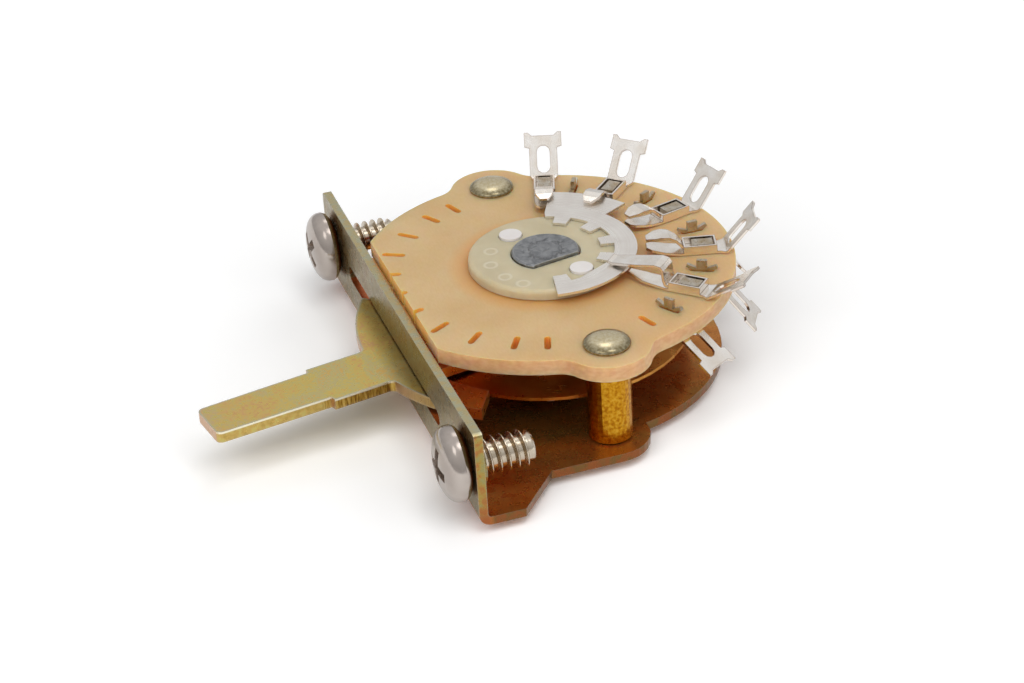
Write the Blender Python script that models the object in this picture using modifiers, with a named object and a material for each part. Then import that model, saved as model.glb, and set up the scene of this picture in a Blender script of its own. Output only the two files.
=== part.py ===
"""Five-position lever switch for choosing guitar pickups, with an open frame.

The pivot axis is the Z axis. The frame's flange faces -Y, where the lever comes out,
and the terminals fan out on the +Y side. Z is 0 at the underside of the shaft's foot
and of the rivets' tails, which the switch stands on.
"""

import math

import bmesh
import bpy
from mathutils import Matrix, Vector

MM = 0.001
DEG = math.pi / 180

# Clearances
TOUCH = 0.1 * MM  # between pieces that are clamped or riveted together
RUNNING = 0.25 * MM  # between pieces that slide past each other

# Frame, one sheet folded to an L
SHEET = 0.8 * MM
TAIL = 0.95 * MM  # how far the rivets and the shaft stand out below the sheet
FLANGE_DISTANCE = 14.75 * MM  # pivot axis to the flange's outer face
FLANGE_HEIGHT = 9.1 * MM  # at its ends, above the underside of the sheet
FLANGE_SAG = 0.2 * MM  # of its top edge in the middle
FLANGE_CORNER = 0.45 * MM
FOLD_INNER_RADIUS = 0.3 * MM
SLOT_ROOM = 3.444 * MM  # in the flange's slot beyond the lever, each way
SLOT_CENTRE = -1.1 * MM  # its middle along the flange
SCREW_FROM_SLOT = 6.15 * MM  # a screw's axis beyond half the slot
FLANGE_END_FROM_SCREW = 3.15 * MM
SCREW_HEIGHT = 4.8 * MM  # above the underside of the sheet
COLLAR_RISE = 0.45 * MM  # of the lip round each screw hole, behind the flange
COLLAR_WALL = 0.5 * MM
BASE_RADIUS = 15.8 * MM
WING_DEPTH = 4.15 * MM  # the base plate's full-length strip behind the flange
SHOULDER_DEPTH = 8.0 * MM  # from the flange to where the plate has narrowed to its ears
EAR_RADIUS = 3.5 * MM  # of the base plate's ears, round the rivets

# Rivets and spacers
RIVET_INSET = 1.4 * MM  # a rivet's axis inside the wafer's round edge
RIVET_RADIUS = 1.1 * MM
RIVET_HEAD_RADIUS = 2.1 * MM
RIVET_HEAD_HEIGHT = 0.75 * MM
RIVET_HEAD_RIM = 0.12 * MM
RIVET_TAIL_RADIUS = 1.9 * MM
RIVET_TAIL_SLOPE = 0.2 * MM
SPACER_RADIUS = 2.0 * MM
SPACER_LENGTH = 7.7 * MM

# Lever
LEVER_THICKNESS = 1.05 * MM
LEVER_GAP = 3.15 * MM  # between the base plate and the lever
LEVER_TURN = 10.3 * DEG  # from the middle of its travel, at rest
BLADE_REACH = 34.2 * MM  # pivot axis to the tip
BLADE_TIP_WIDTH = 4.6 * MM
BLADE_STEP_WIDTH = 4.9 * MM
BLADE_STEP_REACH = 23.4 * MM
BLADE_STEP_SLOPE = 0.1 * MM
BLADE_ROOT_WIDTH = 6.0 * MM
CRESCENT_RADIUS = 17.8 * MM
CRESCENT_WIDTH = 3.2 * MM
CRESCENT_HALF_ANGLE = 41.3 * DEG  # at its outer edge
CRESCENT_INNER_HALF_ANGLE = 39.3 * DEG
NECK_WIDTH = 7.4 * MM
NOTCH_CORNER = 0.8 * MM
HUB_RADIUS = 7.5 * MM
ROOT_CORNER = 0.6 * MM

# Detent
INDEX_STEP = 15 * DEG
STEPS_BELOW = 3  # detents on each side of the one that the lever rests in
STEPS_ABOVE = 1
BALL_RADIUS = 1.4 * MM
BALL_SEAT_RADIUS = 1.1 * MM
BALL_ORBIT = 8.4 * MM
DETENT_RADIUS = 0.8 * MM
INDEX_DISC_RADIUS = 13.0 * MM
INDEX_DISC_THICKNESS = 0.3 * MM
INDEX_DISC_DISH = 0.3 * MM
INDEX_DISC_FLAT_RADIUS = 5.5 * MM

# Shaft
SHAFT_RADIUS = 3.1 * MM
SHAFT_FLAT = 2.0 * MM  # axis to the flat
SHAFT_PROUD = 1.35 * MM  # above the wafer
FOOT_RADIUS = 2.6 * MM
SHAFT_COLLAR_RADIUS = 4.2 * MM
GROOVE_RADIUS = 2.0 * MM
CLIP_THICKNESS = 0.35 * MM
CLIP_RADIUS = 4.2 * MM
CLIP_MOUTH = 70 * DEG
CLIP_PAD = 20 * DEG
CLIP_STEP = 3 * DEG  # between a pad's end and the relief beside it
FOOT_LIP = 0.2 * MM

# Wafer
WAFER_THICKNESS = 1.45 * MM
WAFER_MARGIN = 1.0 * MM  # beyond the terminals' strips
WAFER_EAR_RADIUS = 3.9 * MM
WAFER_EAR_FILLET = 2.2 * MM
WAFER_FLANGE_GAP = 0.3 * MM
CLIP_SLOT_LENGTH = 2.25 * MM
CLIP_SLOT_WIDTH = 0.6 * MM
SLOT_STEP = 15  # degrees between slots
SLOT_BY_RIVET = 18.8  # degrees between a rivet and the slots beside it

# Rotor
PIN_RADIUS = 1.05 * MM
SHAFT_TO_PIN = 0.5 * MM
PIN_TO_RIM = 1.4 * MM
ROTOR_STEP = 1.0 * MM  # its rim beyond the part inside the wafer
ROTOR_EDGE = 0.45 * MM  # radius of its rounded rim
ROTOR_PROUD = 1.05 * MM
PIN_ANGLE = 14.3 * DEG
PIN_PROUD = 0.2 * MM  # above the rotor

# Contact ring
RING_THICKNESS = 0.25 * MM
RING_OVERHANG = 1.25 * MM  # beyond the rotor's rim
RING_BAND = 2.05 * MM
TANG_LENGTH = 1.25 * MM
TAB_LENGTH = 2.75 * MM
RING_START = -22 * DEG  # angles with the lever in the middle of its travel
RING_END = 150.9 * DEG
TAB_START = 108.5 * DEG
TAB_END = 148 * DEG
TANG_ANGLES = (-15, 42.5, 73.5, 104, 135.5)
TANG_WIDTH = 14 * DEG

# Terminals
STRIP = 0.25 * MM
STRIP_WIDTH = 2.0 * MM
STRIP_BEFORE_BOX = 0.3 * MM
STRIP_BEYOND_BOX = 0.65 * MM
TAB_ROOM = 1.4 * MM  # between the contact ring's tab and the boxes
BOX_LENGTH = 3.05 * MM
BOX_WIDTH = 2.0 * MM
BOX_HEIGHT = 0.75 * MM
BOX_WALL = 0.2 * MM
SLOT_IN_BOX = 0.65 * MM  # inner end of the wafer's slot from the box's
JAW_BITE = 1.95 * MM  # how far the jaws reach over the tab
COMMON_LEAF_REACH = 2.85 * MM
COMMON_REACH = 4.6 * MM
LEAF_HEIGHT = 0.78 * MM  # of the lower leaf's tip, at its middle, above the wafer
LOWER_LEAF = ((0, 1), (0.7 * MM, 0.8), (1.8 * MM, 0.45))  # distance from the tip, share of height
LOWER_SHAPE = ((0, 0.45), (0.15, 0.8), (0.45, 0.95))  # shares of its length and the strip's width
COMMON_LOWER_SHAPE = ((0, 0.3), (0.4, 0.8))
# Upper leaves, in mm: how far inwards from the box's wall, and how far above the wafer
JAW_LEAF = ((0, 0.5), (0.35, 0.95), (0.8, 1.45), (1.4, 1.8), (2.1, 1.9), (2.8, 1.78))
JAW_LEAF_END = 1.6
JAW_LEAF_WIDTHS = (1.1, 1.2, 1.5, 1.8, 1.7, 0.8)
COMMON_LEAF = ((0, 0.45), (0.4, 0.55), (0.55, 1.0), (0.65, 1.9), (0.85, 2.2), (1.4, 2.3), (3.2, 1.97))
COMMON_LEAF_END = ((0.9, 1.68), (0.45, 1.6), (0, 1.7))
COMMON_LEAF_WIDTHS = (1.9, 2.0, 2.05, 2.0, 1.9, 1.7, 1.4)
LUG_LENGTH = 4.3 * MM
LUG_WIDTH = 2.7 * MM
LUG_WINDOW_WIDTH = 1.25 * MM
LUG_WINDOW_LENGTH = 2.75 * MM
LUG_WINDOW_START = 0.25 * MM
LUG_HEAD_WIDTH = 3.6 * MM
LUG_HEAD_LENGTH = 1.55 * MM
LUG_EAR_WIDTH = 0.75 * MM
LUG_EAR_HEIGHT = 0.33 * MM
LUG_SHOULDER = 0.15 * MM
LUG_RISE = 50 * DEG
COMMON_LUG_RISE = 32 * DEG
LUG_FOLD_RADIUS = 0.4 * MM
TOP_ANGLES = (SLOT_STEP * 3, SLOT_STEP * 5, SLOT_STEP * 7, SLOT_STEP * 9, 180 - SLOT_BY_RIVET)
UNDER_ANGLES = (SLOT_STEP * 2, SLOT_STEP * 4, SLOT_STEP * 6, SLOT_STEP * 8, SLOT_STEP * 10)

# Staples that hold the terminals
STAPLE_THICKNESS = 0.36 * MM
STAPLE_WIDTH = 1.8 * MM
CROWN_LENGTH = 1.9 * MM
CROWN_WIDTH = 1.2 * MM
CROWN_HEIGHT = 0.5 * MM
PRONG_HEIGHT = 1.0 * MM
PRONG_WIDTH = 0.95 * MM
BARB_REACH = 1.45 * MM
BARB_HEIGHT = 0.55 * MM
BARB_THICKNESS = 0.26 * MM

# Mounting screws
THREAD_RADIUS = 1.65 * MM
SCREW_HEAD_RADIUS = 3.35 * MM
SCREW_HEAD_DOME = 1.65 * MM
SCREW_HEAD_FULLNESS = 0.8  # 1 is an ellipse, less is fuller
SCREW_HEAD_RIM = 0.45 * MM
SCREW_HEAD_CONE = 0.35 * MM
SCREW_REACH = 5.95 * MM  # behind the flange's outer face

# Sizes that follow from those above
LEVER_CHORD = math.sqrt(CRESCENT_RADIUS**2 - (FLANGE_DISTANCE - SHEET) ** 2)
SLOT_LENGTH = 2 * (LEVER_CHORD + SLOT_ROOM)
SCREW_SPACING = SLOT_LENGTH + 2 * SCREW_FROM_SLOT
FLANGE_LENGTH = SCREW_SPACING + 2 * FLANGE_END_FROM_SCREW
PIN_ORBIT = SHAFT_RADIUS + SHAFT_TO_PIN + PIN_RADIUS
ROTOR_RADIUS = PIN_ORBIT + PIN_RADIUS + PIN_TO_RIM
ROTOR_HUB_RADIUS = ROTOR_RADIUS - ROTOR_STEP
RING_RADIUS = ROTOR_RADIUS + RING_OVERHANG
RING_INNER_RADIUS = RING_RADIUS - RING_BAND
RING_TANG_RADIUS = RING_INNER_RADIUS - TANG_LENGTH
RING_TAB_RADIUS = RING_RADIUS + TAB_LENGTH
BOX_INNER = RING_TAB_RADIUS + TAB_ROOM
BOX_OUTER = BOX_INNER + BOX_LENGTH
STRIP_OUTER = BOX_OUTER + STRIP_BEYOND_BOX
STRIP_LEVEL = TOUCH / 2 + STRIP / 2  # the strip's middle above the wafer
JAW_TIP = RING_TAB_RADIUS - JAW_BITE
COMMON_LEAF_TIP = RING_TAB_RADIUS - COMMON_LEAF_REACH
COMMON_TIP = RING_TAB_RADIUS - COMMON_REACH
CLIP_SLOT_INNER = BOX_INNER + SLOT_IN_BOX
CLIP_SLOT_OUTER = CLIP_SLOT_INNER + CLIP_SLOT_LENGTH
WAFER_RADIUS = STRIP_OUTER + WAFER_MARGIN
RIVET_SPACING = 2 * (WAFER_RADIUS - RIVET_INSET)

# Heights
BASE_UNDER = TAIL
BASE_TOP = BASE_UNDER + SHEET
LEVER_UNDER = BASE_TOP + LEVER_GAP
LEVER_TOP = LEVER_UNDER + LEVER_THICKNESS
WAFER_UNDER = BASE_TOP + SPACER_LENGTH
WAFER_TOP = WAFER_UNDER + WAFER_THICKNESS
WAFER_MIDDLE = (WAFER_UNDER + WAFER_TOP) / 2
FOLD_OUTER_RADIUS = FOLD_INNER_RADIUS + SHEET
STAPLE_ORBIT = (CLIP_SLOT_INNER + CLIP_SLOT_OUTER) / 2
SCREW_AXIS_Z = BASE_UNDER + SCREW_HEIGHT
ROUND_STEPS = 48


def clear_scene():
    for obj in list(bpy.data.objects):
        bpy.data.objects.remove(obj, do_unlink=True)


def new_collection(name):
    collection = bpy.data.collections.new(name)
    bpy.context.scene.collection.children.link(collection)
    return collection


def material(name, colour, roughness, metallic):
    made = bpy.data.materials.new(name)
    made.use_nodes = True
    shader = made.node_tree.nodes["Principled BSDF"]
    shader.inputs["Base Color"].default_value = (*colour, 1)
    shader.inputs["Roughness"].default_value = roughness
    shader.inputs["Metallic"].default_value = metallic
    return made


def polar(radius, angle):
    return (radius * math.cos(angle), radius * math.sin(angle))


def arc(centre, radius, start, end, steps):
    """Points on an arc, both ends included."""
    turns = [start + (end - start) * i / steps for i in range(steps + 1)]
    return [(centre[0] + radius * math.cos(a), centre[1] + radius * math.sin(a)) for a in turns]


def circle(centre, radius, steps=ROUND_STEPS):
    return arc(centre, radius, 0, 2 * math.pi, steps)[:-1]


def rectangle(x0, x1, y0, y1):
    return [(x0, y0), (x1, y0), (x1, y1), (x0, y1)]


def stadium(x0, x1, width, steps=5):
    """A slot along X with round ends."""
    radius = width / 2
    right = arc((x1 - radius, 0), radius, -math.pi / 2, math.pi / 2, steps)
    left = arc((x0 + radius, 0), radius, math.pi / 2, 3 * math.pi / 2, steps)
    return right + left


def turned(points, angle):
    c, s = math.cos(angle), math.sin(angle)
    return [(c * x - s * y, s * x + c * y) for x, y in points]


def rounded(corners, radii, steps=4):
    """A polygon whose corners are rounded, each by its own radius."""
    points = []
    count = len(corners)
    for i, radius in enumerate(radii):
        here = Vector(corners[i])
        before = (Vector(corners[i - 1]) - here).normalized()
        after = (Vector(corners[(i + 1) % count]) - here).normalized()
        if radius == 0:
            points.append(tuple(here))
            continue
        half = before.angle(after) / 2
        middle = here + (before + after).normalized() * radius / math.sin(half)
        first = here + before * radius / math.tan(half) - middle
        last = here + after * radius / math.tan(half) - middle
        for step in range(steps + 1):
            share = step / steps
            spoke = (first * (1 - share) + last * share).normalized() * radius
            points.append(tuple(middle + spoke))
    return points


def add_object(name, mesh, collection, look=None):
    obj = bpy.data.objects.new(name, mesh)
    collection.objects.link(obj)
    if look:
        mesh.materials.clear()
        mesh.materials.append(look)
    mesh.shade_smooth()
    mesh.set_sharp_from_angle(angle=35 * DEG)
    return obj


def plate_mesh(name, loops, thickness, base=0.0):
    """A flat plate that stands on z = base: the first loop is its outline, the rest are holes.

    The curve is built a thousand times larger, because its fill merges close points.
    """
    curve = bpy.data.curves.new(name, "CURVE")
    curve.dimensions = "2D"
    curve.fill_mode = "BOTH"
    curve.extrude = thickness / 2 / MM
    for loop in loops:
        spline = curve.splines.new("POLY")
        spline.points.add(len(loop) - 1)
        for point, (x, y) in zip(spline.points, loop):
            point.co = (x / MM, y / MM, 0, 1)
        spline.use_cyclic_u = True
    guide = bpy.data.objects.new(name, curve)
    bpy.context.scene.collection.objects.link(guide)
    graph = bpy.context.evaluated_depsgraph_get()
    mesh = bpy.data.meshes.new_from_object(guide.evaluated_get(graph))
    bpy.data.objects.remove(guide, do_unlink=True)
    mesh.name = name
    mesh.transform(Matrix.Translation((0, 0, base + thickness / 2)) @ Matrix.Scale(MM, 4))
    edit = bmesh.new()
    edit.from_mesh(mesh)
    bmesh.ops.remove_doubles(edit, verts=edit.verts, dist=1e-7)
    bmesh.ops.recalc_face_normals(edit, faces=edit.faces)
    edit.to_mesh(mesh)
    edit.free()
    return mesh


def turned_mesh(name, profile, steps=ROUND_STEPS):
    """A solid of revolution round Z. The profile's (radius, z) points run from top to bottom."""
    mesh = bpy.data.meshes.new(name)
    edit = bmesh.new()
    points = [edit.verts.new((radius, 0, z)) for radius, z in profile]
    for first, second in zip(points, points[1:]):
        edit.edges.new((first, second))
    edit.to_mesh(mesh)
    edit.free()
    guide = bpy.data.objects.new(name, mesh)
    bpy.context.scene.collection.objects.link(guide)
    screw = guide.modifiers.new("turn", "SCREW")
    screw.axis = "Z"
    screw.steps = steps
    screw.render_steps = steps
    screw.use_merge_vertices = True
    screw.merge_threshold = 1e-7
    graph = bpy.context.evaluated_depsgraph_get()
    result = bpy.data.meshes.new_from_object(guide.evaluated_get(graph))
    bpy.data.objects.remove(guide, do_unlink=True)
    edit = bmesh.new()
    edit.from_mesh(result)
    bmesh.ops.remove_doubles(edit, verts=edit.verts, dist=1e-7)
    bmesh.ops.recalc_face_normals(edit, faces=edit.faces)
    edit.to_mesh(result)
    edit.free()
    result.name = name
    return result


def cleaned(mesh):
    """The mesh without stray points and without edges across its flat faces."""
    edit = bmesh.new()
    edit.from_mesh(mesh)
    bmesh.ops.remove_doubles(edit, verts=edit.verts, dist=1e-6)
    bmesh.ops.dissolve_degenerate(edit, edges=edit.edges, dist=1e-6)
    bmesh.ops.dissolve_limit(
        edit, angle_limit=0.2 * DEG, use_dissolve_boundaries=False, verts=edit.verts, edges=edit.edges
    )
    bmesh.ops.triangulate(edit, faces=[face for face in edit.faces if len(face.verts) > 4])
    bmesh.ops.recalc_face_normals(edit, faces=edit.faces)
    edit.to_mesh(mesh)
    edit.free()
    return mesh


def lengths(path):
    """The distance along the path at each of its points."""
    total = [0.0]
    for first, second in zip(path, path[1:]):
        total.append(total[-1] + math.dist(first, second))
    return total


def lay_along(mesh, path, thickness):
    """Bends a flat sheet, whose X runs from 0, so that its middle follows the (x, z) path."""
    stations = lengths(path)
    edit = bmesh.new()
    edit.from_mesh(mesh)
    for station in stations[1:-1]:
        everything = edit.verts[:] + edit.edges[:] + edit.faces[:]
        bmesh.ops.bisect_plane(
            edit, geom=everything, dist=1e-7, plane_co=(station, 0, 0), plane_no=(1, 0, 0)
        )
    headings = [(Vector(b) - Vector(a)).normalized() for a, b in zip(path, path[1:])]
    normals = []
    for i in range(len(path)):
        before = headings[max(i - 1, 0)]
        after = headings[min(i, len(headings) - 1)]
        middle = (before + after).normalized()
        normals.append(Vector((-middle.y, middle.x)) / middle.dot(before))
    for vertex in edit.verts:
        along = min(max(vertex.co.x, 0.0), stations[-1])
        leg = 0
        while leg < len(path) - 2 and along > stations[leg + 1]:
            leg += 1
        share = (along - stations[leg]) / (stations[leg + 1] - stations[leg])
        offset = vertex.co.z - thickness / 2
        first = Vector(path[leg]) + offset * normals[leg]
        second = Vector(path[leg + 1]) + offset * normals[leg + 1]
        x, z = first.lerp(second, share)
        vertex.co.x, vertex.co.z = x, z
    bmesh.ops.remove_doubles(edit, verts=edit.verts, dist=1e-7)
    bmesh.ops.recalc_face_normals(edit, faces=edit.faces)
    edit.to_mesh(mesh)
    edit.free()
    return cleaned(mesh)


def combined(name, body, tools, operation, cutters):
    """The body with the tool meshes joined to it or cut from it, as one mesh."""
    guide = bpy.data.objects.new(name, body)
    bpy.context.scene.collection.objects.link(guide)
    for number, tool in enumerate(tools):
        cutter = bpy.data.objects.new(f"{name}_tool_{number}", tool)
        cutters.objects.link(cutter)
        cutter.hide_render = True
        cutter.display_type = "WIRE"
        step = guide.modifiers.new(f"{operation.lower()}_{number}", "BOOLEAN")
        step.operation = operation
        step.object = cutter
    bpy.context.view_layer.update()
    graph = bpy.context.evaluated_depsgraph_get()
    result = bpy.data.meshes.new_from_object(guide.evaluated_get(graph))
    bpy.data.objects.remove(guide, do_unlink=True)
    result.name = name
    return cleaned(result)


def cylinder_mesh(name, centre, radius, z0, z1, steps=ROUND_STEPS):
    return plate_mesh(name, [circle(centre, radius, steps)], z1 - z0, z0)


def flat_shaft_outline(radius, flat):
    """A circle cut by one flat, which faces +X."""
    corner = math.acos(flat / radius)
    return arc((0, 0), radius, corner, 2 * math.pi - corner, ROUND_STEPS)


def base_outline():
    """The base plate's edge behind the flange, from its +X end round to its -X end."""
    ear_x = RIVET_SPACING / 2
    edge_x = ear_x + EAR_RADIUS
    end_x = FLANGE_LENGTH / 2
    wing_y = -FLANGE_DISTANCE + WING_DEPTH
    shoulder_y = -FLANGE_DISTANCE + SHOULDER_DEPTH
    meeting = (ear_x**2 + BASE_RADIUS**2 - EAR_RADIUS**2) / (2 * ear_x * BASE_RADIUS)
    disc_angle = math.acos(meeting)
    ear_end = math.atan2(
        BASE_RADIUS * math.sin(disc_angle), BASE_RADIUS * math.cos(disc_angle) - ear_x
    )
    right = [(end_x, wing_y), (edge_x, shoulder_y)]
    right += arc((ear_x, 0), EAR_RADIUS, 0, ear_end, 8)
    back = arc((0, 0), BASE_RADIUS, disc_angle, math.pi - disc_angle, 30)[1:-1]
    left = [(-x, y) for x, y in reversed(right)]
    return right + back + left


def screw_collars():
    """The lip that piercing raised round each screw hole, behind the flange."""
    sunk = SHEET / 4
    inner = THREAD_RADIUS + 1.5 * TOUCH
    loops = [circle((0, 0), inner + COLLAR_WALL, 24), circle((0, 0), inner, 24)]
    collars = []
    for side in (-1, 1):
        collar = plate_mesh("screw_collar", loops, COLLAR_RISE + sunk)
        collar.transform(Matrix.Rotation(-math.pi / 2, 4, "X"))
        inner_face = -(FLANGE_DISTANCE - SHEET)
        place = (side * SCREW_SPACING / 2, inner_face - sunk, SCREW_AXIS_Z)
        collar.transform(Matrix.Translation(place))
        collars.append(collar)
    return collars


def frame_mesh(cutters):
    """Base plate and flange, cut flat and folded up along the flange."""
    middle_radius = FOLD_INNER_RADIUS + SHEET / 2
    fold_start = FLANGE_DISTANCE - FOLD_OUTER_RADIUS
    behind = BASE_RADIUS + SHEET  # room on the path behind the base plate
    steps = 6
    middle_z = BASE_UNDER + SHEET / 2
    path = [(-behind, middle_z)]
    for step in range(steps + 1):
        turn = math.pi / 2 * step / steps
        path.append(
            (
                fold_start + middle_radius * math.sin(turn),
                middle_z + middle_radius * (1 - math.cos(turn)),
            )
        )
    path.append((path[-1][0], BASE_UNDER + FLANGE_HEIGHT))
    stations = lengths(path)

    def at_height(height):
        """The place on the flat sheet of a height above the sheet's underside."""
        return stations[-1] - (FLANGE_HEIGHT - height)

    half = FLANGE_LENGTH / 2
    corner = FLANGE_CORNER
    flange_edge = arc((half - corner, stations[-1] - corner), corner, 0, math.pi / 2, 4)
    for share in (0.8, 0.6, 0.4, 0.2, 0, -0.2, -0.4, -0.6, -0.8):
        flange_edge.append((share * half, stations[-1] - FLANGE_SAG * (1 - share**2)))
    flange_edge += arc((-half + corner, stations[-1] - corner), corner, math.pi / 2, math.pi, 4)
    outline = [(x, behind - y) for x, y in base_outline()]
    loops = [outline + [(x, y) for x, y in reversed(flange_edge)]]
    screw_y = at_height(SCREW_HEIGHT)
    for side in (-1, 1):
        hole = THREAD_RADIUS + TOUCH
        loops.append(circle((side * SCREW_SPACING / 2, screw_y), hole, 20))
        rivet_hole = RIVET_RADIUS + TOUCH
        loops.append(circle((side * RIVET_SPACING / 2, behind), rivet_hole, 12))
    slot_low = at_height(LEVER_UNDER - BASE_UNDER - RUNNING)
    slot_high = at_height(LEVER_TOP - BASE_UNDER + RUNNING)
    slot = stadium(-SLOT_LENGTH / 2, SLOT_LENGTH / 2, slot_high - slot_low)
    loops.append([(x + SLOT_CENTRE, y + (slot_low + slot_high) / 2) for x, y in slot])
    loops.append(circle((0, behind), FOOT_RADIUS + RUNNING, 32))
    for number in range(-STEPS_BELOW, STEPS_ABOVE + 1):
        for side in (0, math.pi):
            x, y = polar(BALL_ORBIT, LEVER_TURN + number * INDEX_STEP + side)
            loops.append(circle((x, behind - y), DETENT_RADIUS, 10))
    # On the sheet X runs across it and Y towards the flange. The fold works along X.
    swapped = [[(y, x) for x, y in loop] for loop in loops]
    mesh = plate_mesh("frame", swapped, SHEET)
    lay_along(mesh, path, SHEET)
    mesh.transform(Matrix.Rotation(-math.pi / 2, 4, "Z"))
    return combined("frame", mesh, screw_collars(), "UNION", cutters)


def lever_outline():
    """The lever seen from above, its blade along -Y: half of it, mirrored."""
    tip, step, root = BLADE_TIP_WIDTH / 2, BLADE_STEP_WIDTH / 2, BLADE_ROOT_WIDTH / 2
    outer, inner = CRESCENT_RADIUS, CRESCENT_RADIUS - CRESCENT_WIDTH
    neck = NECK_WIDTH / 2
    root_x = math.sqrt((outer + ROOT_CORNER) ** 2 - (root + ROOT_CORNER) ** 2)
    root_angle = math.atan2(root + ROOT_CORNER, root_x)
    # Half outline with the blade along +X and the other half at -Y
    half = rounded([(BLADE_REACH, 0), (BLADE_REACH, tip), (BLADE_STEP_REACH, step)], [0, tip / 4, 0])
    half += [(BLADE_STEP_REACH - BLADE_STEP_SLOPE, root)]
    half += arc((root_x, root + ROOT_CORNER), ROOT_CORNER, -math.pi / 2, root_angle - math.pi, 4)
    half += arc((0, 0), outer, root_angle, CRESCENT_HALF_ANGLE, 16)[1:]
    notch_x = math.sqrt((inner - NOTCH_CORNER) ** 2 - (neck + NOTCH_CORNER) ** 2)
    notch_angle = math.atan2(neck + NOTCH_CORNER, notch_x)
    half += arc((0, 0), inner, CRESCENT_INNER_HALF_ANGLE, notch_angle, 10)
    half += arc((notch_x, neck + NOTCH_CORNER), NOTCH_CORNER, notch_angle, -math.pi / 2, 6)[1:]
    hub_angle = math.asin(neck / HUB_RADIUS)
    half += arc((0, 0), HUB_RADIUS, hub_angle, math.pi, 20)
    whole = half + [(x, -y) for x, y in reversed(half[1:-1])]
    return turned(whole, -math.pi / 2)


def shaft_hole():
    """The hole with a flat in each piece that the shaft turns, its flat towards +X."""
    return flat_shaft_outline(SHAFT_RADIUS + TOUCH, SHAFT_FLAT + TOUCH)


def index_disc_mesh(cutters):
    """The dished spring disc under the lever, with a seat for each ball."""
    top = LEVER_UNDER - TOUCH
    rim_top = top - INDEX_DISC_DISH
    inner = SHAFT_RADIUS / 2
    profile = [
        (inner, top),
        (INDEX_DISC_FLAT_RADIUS, top),
        (INDEX_DISC_RADIUS, rim_top),
        (INDEX_DISC_RADIUS, rim_top - INDEX_DISC_THICKNESS),
        (INDEX_DISC_FLAT_RADIUS, top - INDEX_DISC_THICKNESS),
        (inner, top - INDEX_DISC_THICKNESS),
        (inner, top),
    ]
    body = turned_mesh("index_disc", profile)
    bore = plate_mesh("index_bore", [shaft_hole()], LEVER_GAP, top - LEVER_GAP / 2)
    seats = []
    for side in (0, math.pi):
        seat = cylinder_mesh(
            "ball_seat", polar(BALL_ORBIT, side), BALL_SEAT_RADIUS, BASE_TOP, LEVER_TOP, 16
        )
        seats.append(seat)
    return combined("index_disc", body, [bore] + seats, "DIFFERENCE", cutters)


def shaft_mesh(cutters):
    """Foot, collar and the long body with one flat."""
    top = WAFER_TOP + SHAFT_PROUD
    collar_low = BASE_TOP + RUNNING
    collar_high = LEVER_UNDER - TOUCH - INDEX_DISC_THICKNESS - TOUCH
    groove_low = FOOT_LIP
    groove_high = BASE_UNDER - TOUCH
    edge = 0.15 * MM
    profile = [
        (0, top),
        (SHAFT_RADIUS - edge, top),
        (SHAFT_RADIUS, top - edge),
        (SHAFT_RADIUS, collar_high),
        (SHAFT_COLLAR_RADIUS, collar_high),
        (SHAFT_COLLAR_RADIUS, collar_low),
        (FOOT_RADIUS, collar_low),
        (FOOT_RADIUS, groove_high),
        (GROOVE_RADIUS, groove_high),
        (GROOVE_RADIUS, groove_low),
        (FOOT_RADIUS, groove_low),
        (FOOT_RADIUS, 0),
        (0, 0),
    ]
    body = turned_mesh("shaft", profile)
    flat = plate_mesh(
        "shaft_flat",
        [rectangle(SHAFT_FLAT, SHAFT_RADIUS * 2, -SHAFT_RADIUS * 2, SHAFT_RADIUS * 2)],
        top - collar_high + edge,
        collar_high,
    )
    return combined("shaft", body, [flat], "DIFFERENCE", cutters)


def clip_outline():
    """A snap ring for the groove in the shaft's foot, open towards +X.

    Its outer edge is one arc. Inside, three pads touch the groove: one at each end and
    one opposite the mouth, with a relief between each two.
    """
    half_mouth = CLIP_MOUTH / 2
    inner = GROOVE_RADIUS + TOUCH
    relief = (inner + CLIP_RADIUS) / 2
    start, end = half_mouth, 2 * math.pi - half_mouth
    outline = arc((0, 0), CLIP_RADIUS, start, end, 32)
    outline += arc((0, 0), inner, end, end - CLIP_PAD, 3)
    outline += arc((0, 0), relief, end - CLIP_PAD - CLIP_STEP, math.pi + CLIP_PAD + CLIP_STEP, 8)
    outline += arc((0, 0), inner, math.pi + CLIP_PAD, math.pi - CLIP_PAD, 4)
    outline += arc((0, 0), relief, math.pi - CLIP_PAD - CLIP_STEP, start + CLIP_PAD + CLIP_STEP, 8)
    outline += arc((0, 0), inner, start + CLIP_PAD, start, 3)
    return outline


def wafer_outline():
    """A disc with an ear round each rivet and a straight edge along the flange."""
    ear_x = RIVET_SPACING / 2
    chord_y = -(FLANGE_DISTANCE - SHEET - WAFER_FLANGE_GAP)
    chord_angle = math.asin(chord_y / WAFER_RADIUS)
    reach = WAFER_RADIUS + WAFER_EAR_FILLET
    ear_reach = WAFER_EAR_RADIUS + WAFER_EAR_FILLET
    disc_angle = math.acos((ear_x**2 + reach**2 - ear_reach**2) / (2 * ear_x * reach))
    middle = polar(reach, disc_angle)
    ear_angle = math.atan2(middle[1], middle[0] - ear_x)
    fillet = arc(middle, WAFER_EAR_FILLET, math.pi + ear_angle, math.pi + disc_angle, 5)[1:-1]
    right = arc((0, 0), WAFER_RADIUS, chord_angle, -disc_angle, 14)
    right += [(x, -y) for x, y in reversed(fillet)]
    right += arc((ear_x, 0), WAFER_EAR_RADIUS, -ear_angle, ear_angle, 14)
    right += fillet
    right += arc((0, 0), WAFER_RADIUS, disc_angle, math.pi / 2, 22)
    left = [(-x, y) for x, y in reversed(right[:-1])]
    return right + left


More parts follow.
